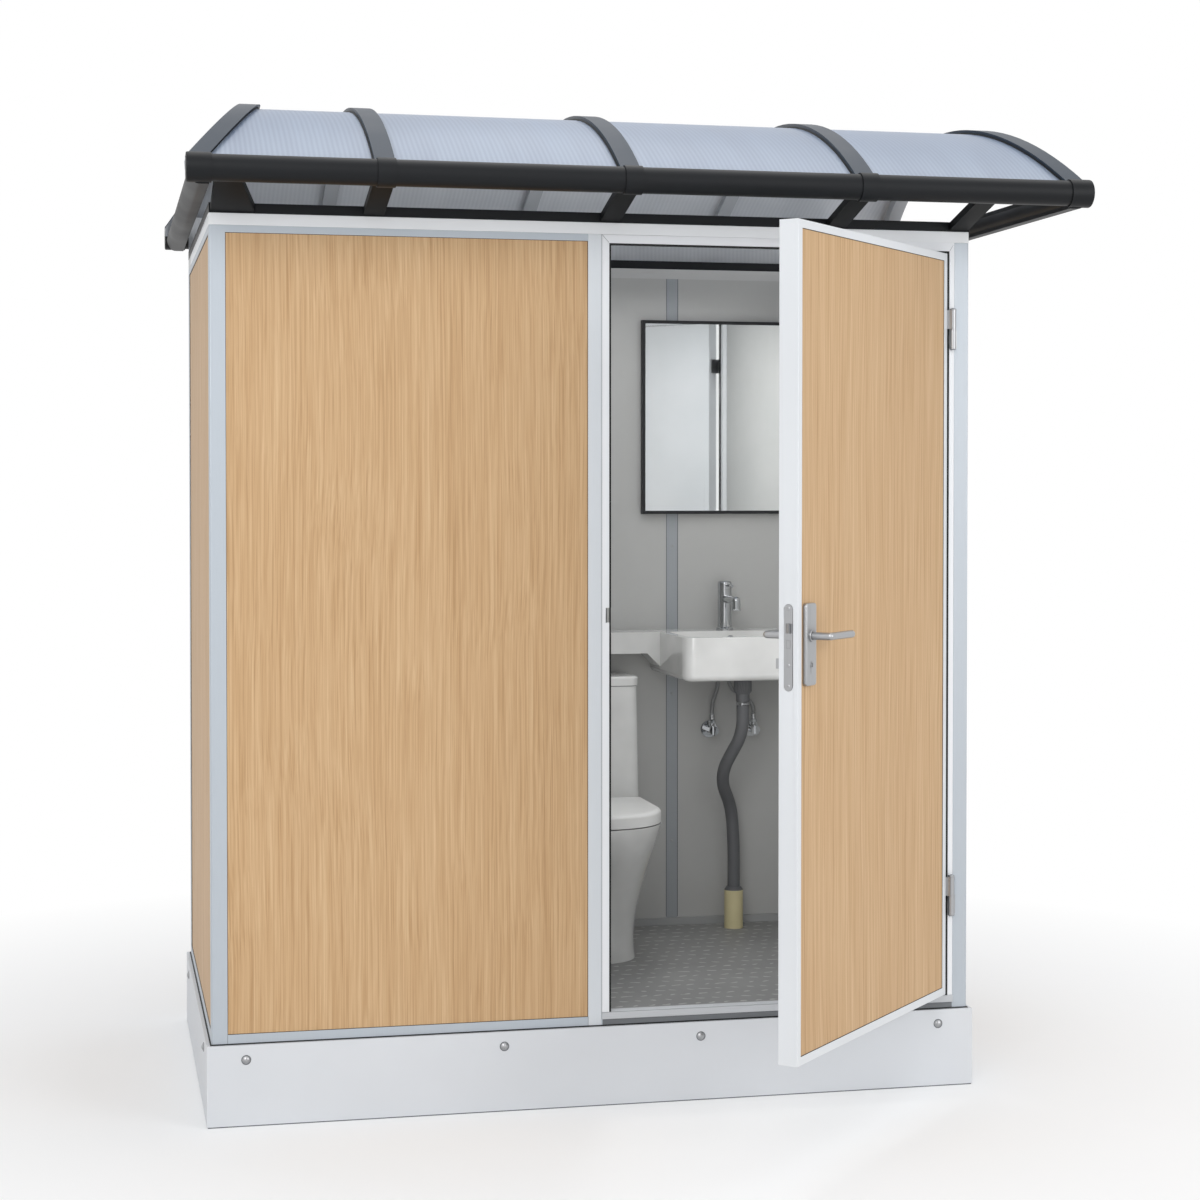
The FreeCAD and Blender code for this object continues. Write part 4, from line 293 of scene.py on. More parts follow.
def multiwall_sheet():
    """Translucent twin-wall sheet with fine flutes over the arch; painted darker and bluer towards its
    crown as painted shade, and a paler grey beneath as painted light coming through the sheet.
    """
    flute_pitch = 0.0125
    paint = Paint("polycarbonate", IOR=1.45, Transmission_Weight=0.3, Specular_IOR_Level=0.5)
    where = paint.axes()
    drift = paint.noise(paint.place((3, 3, 3)), 1.0, 2.0)
    bent = paint.math("MULTIPLY_ADD", drift, 0.006, where[0])
    flute = paint.math("SINE", paint.math("MULTIPLY", bent, 2 * math.pi / flute_pitch))
    cloud = paint.noise(paint.place((14, 1, 1)), 1.0, 2.0)
    tone = paint.math("MULTIPLY_ADD", flute, 0.16, cloud)
    # Painted shade: the sheet is painted darker and bluer towards the crown (high) than lower down (low).
    low = paint.ramp(tone, (0.2, shade("919EB4")), (0.8, shade("A9B6C8")))
    high = paint.ramp(tone, (0.2, shade("7D8EA9")), (0.8, shade("96A6BF")))
    outside = paint.mix(paint.span(where[2], 2.40, 2.57), low, high)
    # Painted light: the underside is painted a paler grey than the top, for the light that comes through
    # the sheet.
    inside = paint.ramp(tone, (0.2, shade("BDC0C5")), (0.8, shade("CBCED2")))
    depth = paint.math("POWER", paint.math("SUBTRACT", where[1], VAULT_MIDDLE), 2.0)
    height = paint.math("POWER", paint.math("SUBTRACT", where[2], VAULT_AXIS), 2.0)
    radius = paint.math("SQRT", paint.math("ADD", depth, height))
    upper = paint.span(radius, VAULT_RADIUS - 0.001, VAULT_RADIUS + 0.001)
    paint.set("Base Color", paint.mix(upper, inside, outside))
    paint.set("Roughness", paint.span(cloud, 0.3, 0.7, 0.30, 0.38))
    paint.bump(flute, 0.12, 0.0006)
    return paint.material


def looking_glass():
    """Silvered glass with a trace of haze."""
    paint = Paint("mirror_silver", Metallic=1.0)
    haze = paint.noise(paint.place(), 5.0, 3.0)
    paint.set("Base Color", paint.ramp(haze, (0.3, shade("E9ECEC")), (0.7, shade("F1F3F3"))))
    paint.set("Roughness", paint.span(haze, 0.3, 0.7, 0.015, 0.035))
    return paint.material


def braided():
    """Woven steel braid on the supply hoses, painted darker in the hollows of the weave as painted shade.
    """
    paint = Paint("braided_hose", Metallic=0.85)
    where = paint.axes()
    wave = 2 * math.pi / 0.004
    rise = paint.math("MULTIPLY", where[2], wave)
    side = paint.math("MULTIPLY", where[0], wave)
    left = paint.math("SINE", paint.math("ADD", rise, side))
    right = paint.math("SINE", paint.math("SUBTRACT", rise, side))
    weave = paint.math("MAXIMUM", left, right)
    # Painted shade: the weave's hollows between the wires are painted darker than its crests.
    paint.set("Base Color", paint.ramp(weave, (0.2, shade("6E6F70")), (0.9, shade("C4C5C6"))))
    paint.set("Roughness", paint.span(weave, 0.0, 1.0, 0.55, 0.3))
    paint.bump(weave, 0.5, 0.0006)
    return paint.material


def deck_board():
    """Raw film-faced board, seen only from below."""
    paint = Paint("deck_board", Roughness=0.7)
    flakes = paint.noise(paint.place((40, 40, 40)), 1.0, 6.0, 0.7)
    paint.set("Base Color", paint.ramp(flakes, (0.3, shade("5B4330")), (0.7, shade("8A6B4C"))))
    paint.bump(flakes, 0.2, 0.001)
    return paint.material


SLOT_MATERIALS = {
    "base_steel": coated("base_steel", "6F7275", 0.5, 0.08),
    "plinth_sheet": coated("plinth_sheet", "D9DBDE", 0.42, 0.02),
    "stainless": drawn_metal("stainless", "B0B1B3", 0.34, 1.0),
    "deck_board": deck_board(),
    "floor_vinyl": vinyl_floor(),
    "skirting_grey": moulded("skirting_grey", "A2A3A3", 0.5, mottle=0.03),
    "frame_aluminium": drawn_metal("frame_aluminium", "B9C0C7", 0.42, 0.30, streak=0.05),
    "white_profile": coated("white_profile", "DFE1E3", 0.36, 0.015),
    "wood_panel": wood_panel(),
    "grey_lining": moulded("grey_lining", "B7B7B5", 0.5, mottle=0.02),
    "gasket": moulded("gasket", "101112", 0.6),
    "black_steel": coated("black_steel", "16181B", 0.45, 0.06, gloss=0.22),
    "slate_strap": coated("slate_strap", "303A46", 0.42, 0.05, gloss=0.25),
    "polycarbonate": multiwall_sheet(),
    "ceramic": glazed(),
    "seat_plastic": moulded("seat_plastic", "D8D8D6", 0.35, 300.0, 0.02, 0.02),
    "chrome": polished("chrome", "C9CBCD", 0.07),
    "grey_hose": moulded("grey_hose", "68696B", 0.5),
    "cream_pvc": moulded("cream_pvc", "D8CDA2", 0.4, mottle=0.04),
    "braided_hose": braided(),
    "mirror_black": coated("mirror_black", "1D1E20", 0.4, 0.05),
    "mirror_silver": looking_glass(),
}

# Finishes of single nodes that differ from the rest of their slot; the mullions', rails', casing's and
# struts' are lighter or darker copies of their slot's finish, painted light and shade.
NODE_MATERIALS = {
    # Painted light and shade: the mullions' front is painted lighter than the frame to lift the open door's
    # shadow, and their rear darker for the room's shade.
    "wall_mullions": drawn_metal("mullion_aluminium_lit_and_shaded", "D6DADE", 0.42, 0.30, streak=0.05, rear="A2A6AA"),
    # Painted light: the top rails and the casing are painted whiter than the other white profiles to lift
    # the roof's shadow; the rails' room side is painted shade.
    "top_rails": coated("rail_white_lit_and_shaded", "EFF0F1", 0.36, 0.015, room_shade="C2C2C1"),
    "door_casing": coated("casing_white_lit", "ECEDEF", 0.36, 0.015),
    "door_sill": drawn_metal("sill_aluminium", "C4C6C9", 0.40, 0.30, (12, 1400, 1400), 0.10),
    # Painted shade: the struts are a darker, duller copy of the black steel, for the shade under the roof.
    "roof_struts": coated("strut_black_shaded", "0D0E10", 0.5, 0.06, gloss=0.12),
    "roof_ribs": drawn_metal("rib_aluminium", "A9ADB3", 0.45, 0.30, streak=0.05),
}


def dress_nodes():
    """Gives every node its own finish or the material of its slot."""
    for entry in frame["record"]["subparts"]:
        mesh = nodes[entry["node"]].data
        mesh.materials.clear()
        mesh.materials.append(NODE_MATERIALS.get(entry["node"], SLOT_MATERIALS[entry["material_slot"]]))


# Small fittings

# The hinge's axis and heights, and the turn that takes a place on the shut door to the open one at rest.
HINGE = Vector((0.952, -0.610, 0.0))
HINGE_HEIGHTS = (2.020, 0.510)
OPEN_ANGLE = math.radians(47)
DOOR = Matrix.Translation(HINGE) @ Matrix.Rotation(OPEN_ANGLE, 4, "Z") @ Matrix.Translation(-HINGE)

# Each face of the shut door: its depth, and the way that it looks.
DOOR_SKINS = ((-0.598, -1), (-0.552, 1))

# The lock's axis across the shut door, the heights of its pieces, and the handle plates' thickness.
LOCK_X = 0.081
LEVER_Z = 1.250
CYLINDER_Z = 1.182
CYLINDER_FACE = -0.610
PLATE_MIDDLE = 1.230
PLATE_THICKNESS = 0.0115

# The frame's front face, the room's rear lining, and the top of the posts.
FRAME_FRONT = -0.600
ROOM_BACK = 0.560
FRAME_TOP = 2.250

# A thin sealed joint's section: across the joint, and behind the face that it lies in.
JOINT = [(-0.0005, 0.0003), (0.0005, 0.0003), (0.0003, -0.0004), (-0.0003, -0.0004)]

# Each roof strap's middle at the height where the rakes start, and its lean for each metre above that.
RAKE_FOOT = 2.392
STRAPS = [(-1.036, 0.160 / 0.212), (-0.590, 0.0), (0.020, 0.0), (0.630, 0.0), (1.202, -0.060 / 0.212)]

# Places inside: the toilet's and the basin's middles, the waste's and the supply hoses' depths.
TOILET_X = 0.134
BASIN_X = 0.635
WASTE_Y = 0.300
SUPPLY_Y = 0.518
OVERFLOW = (BASIN_X, 0.4392, 1.1350)
OVERFLOW_WAY = (0, -0.974, 0.226)


def facing(place, way):
    """A frame at a place with its own Z axis along a way."""
    return Matrix.Translation(Vector(place)) @ Vector(way).to_track_quat("Z", "Y").to_matrix().to_4x4()


def lathe(mesh, matrix, profile, steps=28, hexed=(), ribs=0, ribbed=(), closed=False):
    """Turns (radius, height) points about Z. Chosen points run on a hexagon or on a ribbed round."""
    rib_depth = 0.035
    rings = []
    for index, (radius, height) in enumerate(profile):
        if radius == 0:
            rings.append([mesh.verts.new(matrix @ Vector((0, 0, height)))])
            continue
        ring = []
        for step in range(steps):
            angle = 2 * math.pi * step / steps
            reach = radius
            if index in hexed:
                reach = radius / math.cos(angle % (math.pi / 3) - math.pi / 6)
            if index in ribbed:
                reach = radius * (1 + rib_depth * math.cos(ribs * angle))
            point = Vector((reach * math.cos(angle), reach * math.sin(angle), height))
            ring.append(mesh.verts.new(matrix @ point))
        rings.append(ring)
    pairs = list(zip(rings, rings[1:]))
    if closed:
        pairs.append((rings[-1], rings[0]))
    for first, last in pairs:
        count = max(len(first), len(last))
        for step in range(count):
            after = (step + 1) % count
            corners = [first[step % len(first)], first[after % len(first)]]
            corners += [last[after % len(last)], last[step % len(last)]]
            mesh.faces.new(list(dict.fromkeys(corners)))


def screw(mesh, matrix, radius=0.0045, height=0.0012):
    """A low domed head with a hexagon socket."""
    lathe(
        mesh,
        matrix,
        [
            (radius, -height),
            (radius, 0.35 * height),
            (0.86 * radius, 0.85 * height),
            (0.66 * radius, height),
            (0.42 * radius, height),
            (0.40 * radius, 0.2 * height),
            (0, 0.2 * height),
        ],
        24,
        hexed=(4, 5),
    )


def collar(mesh, matrix, inner, outer, height):
    """A ring with eased edges that stands on a surface."""
    ease = min(0.3 * height, 0.25 * (outer - inner))
    outside = [(inner, 0), (outer, 0), (outer, height - ease), (outer - ease, height)]
    inside = [(inner + ease, height), (inner, height - ease)]
    lathe(mesh, matrix, outside + inside, 40, closed=True)


def walls(mesh, loops):
    """Faces between each loop of points and the next."""
    for first, last in zip(loops, loops[1:]):
        for i in range(len(first)):
            mesh.faces.new([first[i - 1], first[i], last[i], last[i - 1]])


def raised(mesh, matrix, outline, rise):
    """A loop of points along an outline, lifted off its plane."""
    return [mesh.verts.new(matrix @ Vector((x, y, rise))) for x, y in outline]


def mitred(mesh, matrix, width, height, section):
    """A strip round a rectangle, mitred at its corners, through (inset, rise) points of its section."""
    loops = []
    for inset, rise in section:
        half_x, half_y = width / 2 - inset, height / 2 - inset
        corners = [(-half_x, -half_y), (half_x, -half_y), (half_x, half_y), (-half_x, half_y)]
        loops.append(raised(mesh, matrix, corners, rise))
    walls(mesh, loops + loops[:1])


def rounded_outline(width, height, corner, inset):
    """Points round a rectangle with rounded corners, drawn in by an inset."""
    points = []
    for turn, (side_x, side_y) in enumerate(((1, 1), (-1, 1), (-1, -1), (1, -1))):
        for step in range(7):
            angle = math.radians(90 * turn + 15 * step)
            x = side_x * (width / 2 - corner) + (corner - inset) * math.cos(angle)
            y = side_y * (height / 2 - corner) + (corner - inset) * math.sin(angle)
            points.append((x, y))
    return points


def rounded_loops(mesh, matrix, width, height, corner, section):
    """Loops round a rounded rectangle, through (inset, rise) points of its section."""
    loops = []
    for inset, rise in section:
        loops.append(raised(mesh, matrix, rounded_outline(width, height, corner, inset), rise))
    return loops


def arc(radius, middle_y, start, end, count):
    """Points along an arc about a middle on the Y axis, between two angles in degrees."""
    angles = [math.radians(start + (end - start) * i / (count - 1)) for i in range(count)]
    return [(radius * math.cos(angle), middle_y + radius * math.sin(angle)) for angle in angles]


def border(mesh, matrix, width, height, band, depth):
    """A glazing strip round the inside of a rectangle, sloped towards its middle."""
    section = [(0, 0), (0, depth), (0.6 * band, depth), (band, 0.3 * depth), (band, 0)]
    mitred(mesh, matrix, width, height, section)


def bar(mesh, rings):
    """A closed bar through rings of corners."""
    loops = [[mesh.verts.new(corner) for corner in ring] for ring in rings]
    walls(mesh, loops)
    mesh.faces.new(loops[0][::-1])
    mesh.faces.new(loops[-1])


def add_piece(name, body, slot, build):
    """Makes a piece from a function that fills its mesh, and lets it ride on a body."""
    mesh = bmesh.new()
    build(mesh)
    bmesh.ops.recalc_face_normals(mesh, faces=mesh.faces)
    data = bpy.data.meshes.new(name)
    mesh.to_mesh(data)
    mesh.free()
    data.shade_smooth()
    data.set_sharp_from_angle(angle=math.radians(32))
    data.materials.append(SLOT_MATERIALS[slot])
    piece = bpy.data.objects.new(name, data)
    bpy.context.scene.collection.objects.link(piece)
    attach(piece, body)
    return piece


def handle_covers(mesh):
    """Wide pressed plates with rounded rims, holed for the lever's neck and the lock cylinder."""
    width, height, corner, rim = 0.054, 0.194, 0.009, 0.0035
    turns = [math.radians(22.5 * i) for i in range(5)]
    section = [(0.0, 0.0)]
    section += [(rim * (1 - math.cos(a)), PLATE_THICKNESS - rim + rim * math.sin(a)) for a in turns]
    neck_radius, cylinder_radius, fin_half, fin_drop = 0.0094, 0.0087, 0.0052, 0.0202
    neck_hole = arc(neck_radius, LEVER_Z - PLATE_MIDDLE, 0, 350, 36)
    key_middle = CYLINDER_Z - PLATE_MIDDLE
    keyhole = arc(cylinder_radius, key_middle, -53.3, 233.3, 30)
    keyhole += [(-fin_half, key_middle - fin_drop), (fin_half, key_middle - fin_drop)]
    for depth, way in DOOR_SKINS:
        place = DOOR @ facing((LOCK_X, depth, PLATE_MIDDLE), (0, way, 0))
        loops = rounded_loops(mesh, place, width, height, corner, section)
        walls(mesh, loops)
        holes = []
        for outline in (neck_hole, keyhole):
            hole = [raised(mesh, place, outline, rise) for rise in (0, PLATE_THICKNESS)]
            walls(mesh, hole)
            holes.append(hole)
        for end in (0, -1):
            rims = [loops[end]] + [hole[end] for hole in holes]
            edges = [mesh.edges.get((ring[i - 1], ring[i])) for ring in rims for i in range(len(ring))]
            bmesh.ops.triangle_fill(mesh, edges=edges, use_beauty=True)


def lock_screws(mesh):
    """Faceplate screws on the door's edge, and two through the inner handle plate."""
    for height in (1.315, CYLINDER_Z, 1.133):
        screw(mesh, DOOR @ facing((0.026, -0.575, height), (-1, 0, 0)), 0.0048, 0.0008)
    depth, way = DOOR_SKINS[1]
    for height in (1.315, 1.145):
        screw(mesh, DOOR @ facing((LOCK_X, depth + PLATE_THICKNESS, height), (0, way, 0)), 0.0050, 0.0014)


def lever_roses(mesh):
    for depth, way in DOOR_SKINS:
        place = facing((LOCK_X, depth + way * PLATE_THICKNESS, LEVER_Z), (0, way, 0))
        collar(mesh, DOOR @ place, 0.0093, 0.0145, 0.0035)


def cylinder_plug(mesh):
    collar(mesh, DOOR @ facing((LOCK_X, CYLINDER_FACE, CYLINDER_Z), (0, -1, 0)), 0.0058, 0.0070, 0.0006)


def keyway_shade(mesh):
    """The key's wavy slot in the lock cylinder's outer face, a dark shape flush with the face as painted
    shade inside the slot, from an outline in millimetres.
    """
    outline = [(-1.7, -4.8), (1.7, -4.8), (1.7, -1.4), (0.9, -0.7), (1.7, 0.4), (1.7, 4.8)]
    outline += [(-1.7, 4.8), (-1.7, 1.8), (-0.9, 1.0), (-1.7, 0.0)]
    place = DOOR @ facing((LOCK_X, CYLINDER_FACE, CYLINDER_Z), (0, -1, 0))
    ends = (-0.0002, 0.0003)
    bar(mesh, [[place @ Vector((x / 1000, y / 1000, rise)) for x, y in outline] for rise in ends])


def door_glazing_strips(mesh):
    """Thin gaskets where the door's faces meet its edge profiles."""
    width, height = 0.872, 1.934
    for depth, way in DOOR_SKINS:
        border(mesh, DOOR @ facing((0.482, depth, 1.233), (0, way, 0)), width, height, 0.0014, 0.0010)


def wall_glazing_strips(mesh):
    """Thin gaskets round each wall panel."""
    height, middle = 2.002, 1.231
    bays = [(-0.960, -0.038, -1), (-0.960, -0.258, 1), (-0.222, 0.462, 1), (0.498, 0.960, 1)]
    for low, high, way in bays:
        place = facing(((low + high) / 2, way * 0.597, middle), (0, way, 0))
        border(mesh, place, high - low, height, 0.0010, 0.0012)
    for way in (-1, 1):
        border(mesh, facing((way * 0.997, 0, middle), (way, 0, 0)), 1.12, height, 0.0010, 0.0012)


def plinth_washers(mesh):
    for way in (-1, 1):
        for across in (-0.915, -0.260, 0.260, 0.915):
            collar(mesh, facing((across, way * 0.612, 0.168), (0, way, 0)), 0.0090, 0.0122, 0.0010)
        for across in (-0.450, 0.450):
            collar(mesh, facing((way * 1.012, across, 0.168), (way, 0, 0)), 0.0090, 0.0122, 0.0010)


def plinth_shadow_strip(mesh):
    """A dark strip on the plinth's ledge, round the foot of the frame: painted shadow in the gap under the
    rails.
    """
    section = [(0, 0.205), (-0.0036, 0.205), (-0.0030, 0.2068), (0, 0.2078)]
    mitred(mesh, Matrix.Identity(4), 2.000, 1.200, section)


def sill_shade_strip(mesh):
    """A dark strip with a drip edge under the sill's nose, painted shade where the sill shades the rail."""
    section = [(-0.600, 0.2084), (-0.6013, 0.2080), (-0.6016, 0.2105), (-0.6010, 0.2120), (-0.6010, 0.2215)]
    bar(mesh, [[(x, y, z) for y, z in section + [(-0.600, 0.2215)]] for x in (0.000, 0.958)])


def frame_joints(mesh):
    """Thin sealed joints where the front rail meets the post and the mullion, and beside the casing."""
    for middle, low, high in ((-0.960, 0.2080, 0.230), (-0.038, 0.2080, 0.230), (-0.002, 0.222, FRAME_TOP)):
        bar(mesh, [[(middle + x, FRAME_FRONT + y, z) for x, y in JOINT] for z in (low, high)])


def casing_mitres(mesh):
    """The thin mitre lines at the casing's upper corners."""
    for corner, inner in ((-0.002, 0.018), (0.960, 0.946)):
        run = Vector((inner - corner, 0, -0.022))
        across = run.cross(Vector((0, 1, 0))).normalized()
        ends = [Vector((corner, FRAME_FRONT, FRAME_TOP)) + run * share for share in (0.04, 0.96)]
        bar(mesh, [[end + across * side + Vector((0, rise, 0)) for side, rise in JOINT] for end in ends])


def jamb_lip(mesh):
    """The gasket's front lip beside the lock jamb."""
    section = [(0.0180, -0.5975), (0.0225, -0.5975), (0.0222, -0.5992), (0.0205, -0.5998)]
    bar(mesh, [[(x, y, z) for x, y in section + [(0.0180, -0.5996)]] for z in (0.2405, 2.2275)])


def batten_joints(mesh):
    """Thin sealed joints on both sides of the rear battens, seen from inside the room."""
    section = [(-0.0011, -0.0004), (0.0011, -0.0004), (0.0009, 0.0004), (-0.0009, 0.0004)]
    for middle in (-0.258, -0.222, 0.462, 0.498):
        bar(mesh, [[(middle + x, ROOM_BACK + y, z) for x, y in section] for z in (0.262, FRAME_TOP)])


def batten_screws(mesh):
    for middle in (-0.240, 0.480):
        for height in (0.500, 0.960, 1.420, 1.880):
            screw(mesh, facing((middle, ROOM_BACK, height), (0, -1, 0)), 0.0040, 0.0010)


def hinge_tip(mesh, height, way):
    lathe(
        mesh,
        facing((HINGE.x, HINGE.y, height), (0, 0, way)),
        [(0.0085, 0), (0.0092, 0.0006), (0.0092, 0.0022), (0.0078, 0.0040), (0.0045, 0.0056), (0, 0.0062)],
    )


def frame_hinge_tips(mesh):
    for height in HINGE_HEIGHTS:
        hinge_tip(mesh, height - 0.050, -1)


def door_hinge_tips(mesh):
    for height in HINGE_HEIGHTS:
        hinge_tip(mesh, height + 0.050, 1)


def sill_ridges(mesh):
    """Three anti-slip ridges along the sill."""
    sill_top = 0.240
    section = [(-0.0016, -0.0002), (0.0016, -0.0002), (0.0009, 0.0009), (-0.0009, 0.0009)]
    for depth in (-0.592, -0.582, -0.572):
        bar(mesh, [[(x, depth + y, sill_top + z) for y, z in section] for x in (0.019, 0.945)])


def on_vault(strap, side, radius, angle):
    """A point over the vault, beside the middle of a strap."""
    place, slope = strap
    height = VAULT_AXIS + radius * math.cos(angle)
    depth = VAULT_MIDDLE + radius * math.sin(angle)
    return Vector((place + side + slope * (height - RAKE_FOOT), depth, height))


def strap_gaskets(mesh):
    """Rubber lips between the straps and the sheet, along each edge that has sheet beside it."""
    low, high = VAULT_RADIUS + 0.0042, VAULT_RADIUS + 0.0080
    edges = [(0.0246, low), (0.0284, low), (0.0272, high), (0.0246, high)]
    half_angle, steps = 33.6, 56
    angles = [math.radians(half_angle * (2 * i / steps - 1)) for i in range(steps + 1)]
    bare_ends = ((0, -1), (len(STRAPS) - 1, 1))
    for i, strap in enumerate(STRAPS):
        for way in (-1, 1):
            if (i, way) in bare_ends:
                continue
            bar(mesh, [[on_vault(strap, way * side, radius, a) for side, radius in edges] for a in angles])


def cistern_gap_shade(mesh):
    """A dark ring in the gap under the cistern's lid, painted shade that deepens its shadow."""
    place = facing((TOILET_X, 0.450, 1.0019), (0, 0, 1))
    section = [(0.0008, 0), (0.0008, 0.0022), (0.0060, 0.0022), (0.0060, 0)]
    loops = rounded_loops(mesh, place, 0.380, 0.190, 0.028, section)
    walls(mesh, loops + loops[:1])


def toilet_foot_caps(mesh):
    for way in (-1, 1):
        place = facing((TOILET_X + way * 0.1195, 0.200, 0.275), (way, 0, 0))
        lathe(mesh, place, [(0.0120, 0), (0.0120, 0.0020), (0.0105, 0.0045), (0.0060, 0.0064), (0, 0.0070)])


def overflow_ring(mesh):
    collar(mesh, facing(OVERFLOW, OVERFLOW_WAY), 0.0075, 0.0120, 0.0022)


# A dark disc inside the overflow ring, painted shade for the opening behind it.
def overflow_shade_disc(mesh):
    profile = [(0.0078, -0.0005), (0.0078, 0.0004), (0.0060, 0.0006), (0, 0.0003)]
    lathe(mesh, facing(OVERFLOW, OVERFLOW_WAY), profile)


def waste_nut(mesh):
    """The ribbed plastic union nut over the waste's tail, under the basin."""
    inside = [(0.0251, 0.0745), (0.0251, 0.0340), (0.0192, 0.0335), (0.0192, 0)]
    outside = [(0.0206, 0.0010), (0.0206, 0.0220), (0.0262, 0.0310), (0.0262, 0.0730)]
    place = facing((BASIN_X, WASTE_Y, 0.955), (0, 0, 1))
    lathe(mesh, place, inside + outside, 96, ribs=24, ribbed=(6, 7), closed=True)


def hose_clamp(mesh):
    """A band clamp with its screw, on the hose under the union nut."""
    collar(mesh, facing((BASIN_X, WASTE_Y, 0.9440), (0, 0, 1)), 0.0191, 0.0204, 0.0090)
    lug = facing((BASIN_X - 0.008, 0.2788, 0.9485), (1, 0, 0))
    head = [(0.0040, 0), (0.0046, 0.001), (0.0046, 0.015), (0.0040, 0.016)]
    socket = [(0.0022, 0.016), (0.0020, 0.013), (0, 0.013)]
    lathe(mesh, lug, head + socket, 24, hexed=(3, 4, 5))


def supply_fittings(mesh):
    """Hexagon nuts on the valves and crimped ferrules at both ends of the supply hoses."""
    ferrule = [(0.0063, 0), (0.0076, 0.001), (0.0076, 0.006), (0.0070, 0.008)]
    ferrule += [(0.0076, 0.010), (0.0076, 0.017), (0.0063, 0.018)]
    nut = [(0.0083, 0), (0.0098, 0.0006), (0.0098, 0.0094), (0.0083, 0.0100)]
    for way in (-1, 1):
        low = (BASIN_X + 0.030 + way * 0.067, SUPPLY_Y)
        high = (BASIN_X + way * 0.018, SUPPLY_Y)
        lathe(mesh, facing((*low, 0.869), (0, 0, 1)), nut, 36, hexed=(0, 1, 2, 3))
        lathe(mesh, facing((*low, 0.879), (0, 0, 1)), ferrule)
        lathe(mesh, facing((*high, 1.0298), (0, 0, -1)), ferrule)


def tap_details(mesh):
    """The spout's aerator and a raised ring at the foot of the tap."""
    outside = [(0.0132, 0), (0.0136, 0.0008), (0.0136, 0.0040), (0.0128, 0.0048)]
    mouth = [(0.0106, 0.0048), (0.0104, 0.0010), (0, 0.0010)]
    spout = facing((BASIN_X, 0.375, 1.2302), (0, 0, -1))
    lathe(mesh, spout, outside + mouth, 48, ribs=24, ribbed=(1, 2))
    collar(mesh, facing((BASIN_X, 0.505, 1.172), (0, 0, 1)), 0.0221, 0.0232, 0.0022)


def make_fittings():
    covers = add_piece("handle_covers", "door", "stainless", handle_covers)
    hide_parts("handle_plates")
    for name, body, slot, build in (
        ("lock_screws", "door", "stainless", lock_screws),
        ("lever_roses", "door", "stainless", lever_roses),
        ("cylinder_plug", "door", "stainless", cylinder_plug),
        ("keyway_shade", "door", "gasket", keyway_shade),
        ("door_glazing_strips", "door", "gasket", door_glazing_strips),
        ("door_hinge_tips", "door", "stainless", door_hinge_tips),
        ("wall_glazing_strips", "cabin", "gasket", wall_glazing_strips),
        ("plinth_washers", "cabin", "base_steel", plinth_washers),
        ("plinth_shadow_strip", "cabin", "gasket", plinth_shadow_strip),
        ("sill_shade_strip", "cabin", "base_steel", sill_shade_strip),
        ("frame_joints", "cabin", "base_steel", frame_joints),
        ("casing_mitres", "cabin", "base_steel", casing_mitres),
        ("jamb_lip", "cabin", "gasket", jamb_lip),
        ("batten_joints", "cabin", "base_steel", batten_joints),
        ("batten_screws", "cabin", "stainless", batten_screws),
        ("frame_hinge_tips", "cabin", "stainless", frame_hinge_tips),
        ("sill_ridges", "cabin", "white_profile", sill_ridges),
        ("strap_gaskets", "cabin", "gasket", strap_gaskets),
        ("cistern_gap_shade", "cabin", "gasket", cistern_gap_shade),
        ("toilet_foot_caps", "cabin", "ceramic", toilet_foot_caps),
        ("overflow_ring", "cabin", "chrome", overflow_ring),
        ("overflow_shade_disc", "cabin", "gasket", overflow_shade_disc),
        ("waste_nut", "cabin", "grey_hose", waste_nut),
        ("hose_clamp", "cabin", "chrome", hose_clamp),
        ("supply_fittings", "cabin", "chrome", supply_fittings),
        ("tap_details", "cabin", "chrome", tap_details),
    ):
        add_piece(name, body, slot, build)


# How far the sharp edges of these nodes are eased, in metres.
SOFT_EDGES = {
    "basin_console": 0.006,
    "cistern_lid": 0.002,
    "corner_posts": 0.0015,
    "wall_mullions": 0.0012,
    "top_rails": 0.0015,
    "bottom_rails": 0.0012,
    "door_casing": 0.0012,
    "door_profiles": 0.0015,
    "plinth_skirts": 0.0008,
    "roof_base_rails": 0.0015,
    "lock_faceplate": 0.0005,
    "mirror_frame": 0.0010,
    "thumb_turn": 0.0010,
}


def soften_edges():
    """Eases the sharp edges of pressed, drawn and glazed parts."""
    for name, width in SOFT_EDGES.items():
        joined = nodes[name].modifiers.new("joined", "WELD")
        joined.merge_threshold = 0.00001
        eased = nodes[name].modifiers.new("eased", "BEVEL")
        eased.width = width
        eased.segments = 3
        eased.limit_method = "ANGLE"
        eased.angle_limit = math.radians(40)
        eased.harden_normals = True


# Light, floor and camera

def seen_rays(tree):
    """One for rays from the camera, straight or by gloss or glass, and nought for the light's own."""
    rays = tree.nodes.new("ShaderNodeLightPath")
    seen = rays.outputs["Is Camera Ray"]
    for kind in ("Is Glossy Ray", "Is Transmission Ray"):
        either = tree.nodes.new("ShaderNodeMath")
        either.operation = "MAXIMUM"
        tree.links.new(seen, either.inputs[0])
        tree.links.new(rays.outputs[kind], either.inputs[1])
        seen = either.outputs[0]
    return seen


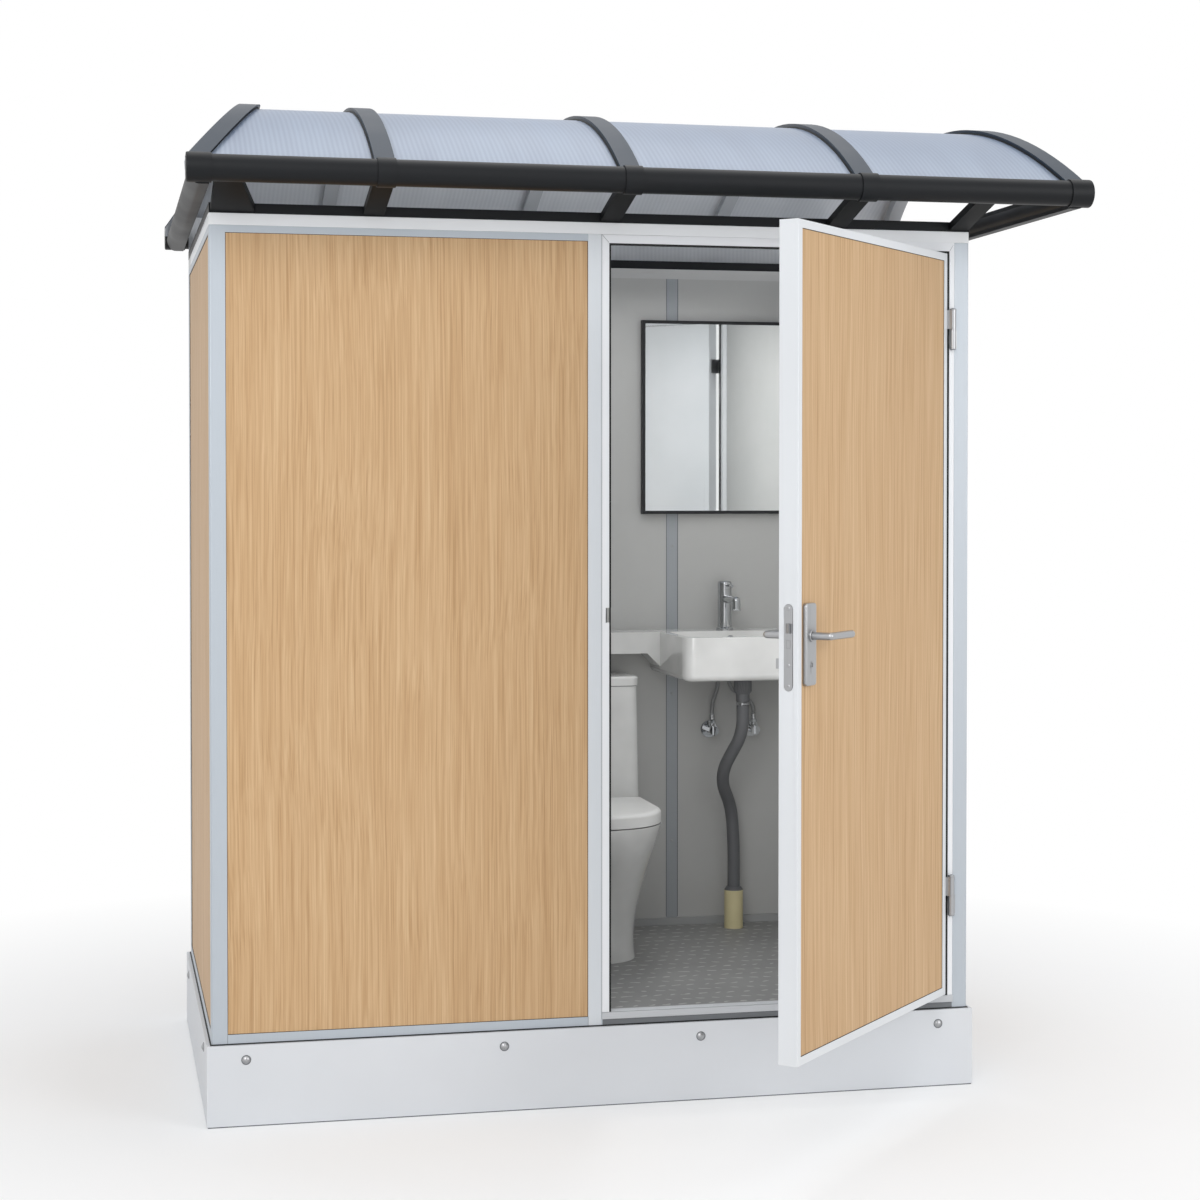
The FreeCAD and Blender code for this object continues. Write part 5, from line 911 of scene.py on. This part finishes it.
def make_stage():
    """A pale floor that fades to white away from the object."""
    bpy.ops.mesh.primitive_plane_add(size=60)
    floor = bpy.context.object
    floor.name = "studio_floor"
    paint = Paint("studio_floor", Roughness=0.9, Specular_IOR_Level=0.0)
    cloud = paint.noise(paint.place(), 2.0, 2.0)
    paint.set("Base Color", paint.ramp(cloud, (0.3, grey(0.91)), (0.7, grey(0.92))))
    flat = paint.place((1, 1, 0))
    away = paint.node("ShaderNodeVectorMath", {0: flat}, operation="LENGTH").outputs["Value"]
    glow = paint.node("ShaderNodeEmission", {"Color": grey(1.0), "Strength": 1.0})
    fade = paint.math("MULTIPLY", paint.span(away, 1.3, 3.0, 0.30, 1.0), seen_rays(paint.tree))
    blend = paint.node("ShaderNodeMixShader", {0: fade})
    paint.tree.links.new(paint.shader.outputs[0], blend.inputs[1])
    paint.tree.links.new(glow.outputs[0], blend.inputs[2])
    paint.tree.links.new(blend.outputs[0], paint.tree.nodes["Material Output"].inputs["Surface"])
    floor.data.materials.append(paint.material)


def make_world():
    """Even white surroundings, plain white to the camera, in reflections and through glass."""
    world = bpy.data.worlds.new("studio")
    bpy.context.scene.world = world
    world.use_nodes = True
    tree = world.node_tree
    light = tree.nodes["Background"]
    light.inputs["Color"].default_value = (0.93, 0.96, 1.0, 1.0)
    light.inputs["Strength"].default_value = 0.62
    white = tree.nodes.new("ShaderNodeBackground")
    white.inputs["Color"].default_value = grey(1.0)
    blend = tree.nodes.new("ShaderNodeMixShader")
    tree.links.new(seen_rays(tree), blend.inputs[0])
    tree.links.new(light.outputs[0], blend.inputs[1])
    tree.links.new(white.outputs[0], blend.inputs[2])
    tree.links.new(blend.outputs[0], tree.nodes["World Output"].inputs["Surface"])


def make_lamp(name, place, target, power, size, depth=None):
    """A soft lamp, square or, with a depth, oblong; the small ones in the room leave no glints."""
    data = bpy.data.lights.new(name, "AREA")
    data.shape = "RECTANGLE"
    data.energy = power
    data.size = size
    data.size_y = depth or size
    lamp = bpy.data.objects.new(name, data)
    lamp.location = place
    lamp.rotation_euler = (Vector(target) - Vector(place)).to_track_quat("-Z", "Y").to_euler()
    lamp.visible_camera = False
    lamp.visible_glossy = data.size_y > 1.0
    bpy.context.scene.collection.objects.link(lamp)


def make_camera():
    data = bpy.data.cameras.new("photo_camera")
    data.lens = CAMERA_LENS
    data.shift_y = CAMERA_SHIFT
    camera = bpy.data.objects.new("photo_camera", data)
    camera.location = CAMERA_PLACE
    camera.rotation_euler = (math.pi / 2 - CAMERA_PITCH, 0.0, -CAMERA_YAW)
    bpy.context.scene.collection.objects.link(camera)
    bpy.context.scene.camera = camera


dress_nodes()
soften_edges()
make_fittings()
make_stage()
make_world()
make_lamp("key", (-3.2, -6.0, 4.2), (0.0, -0.4, 1.2), 166, 4.0)
make_lamp("fill", (4.5, -5.5, 3.0), (0.2, -0.5, 1.2), 122, 4.0)
make_lamp("top", (0.7, 0.5, 6.5), (0.2, 0.0, 1.5), 100, 5.0)
make_lamp("room", (0.30, -0.08, 2.22), (0.30, -0.08, 0.0), 4, 0.8)
make_lamp("doorway", (0.48, -0.38, 1.05), (0.48, 0.56, 1.05), 1.4, 0.6)
make_lamp("rear", (0.35, 0.36, 1.90), (0.62, -0.95, 1.70), 7, 0.3)
make_lamp("vault", (0.0, -0.08, 2.26), (0.0, -0.08, 3.0), 4, 1.8, 0.8)
make_camera()
bpy.context.scene.view_settings.view_transform = "Standard"
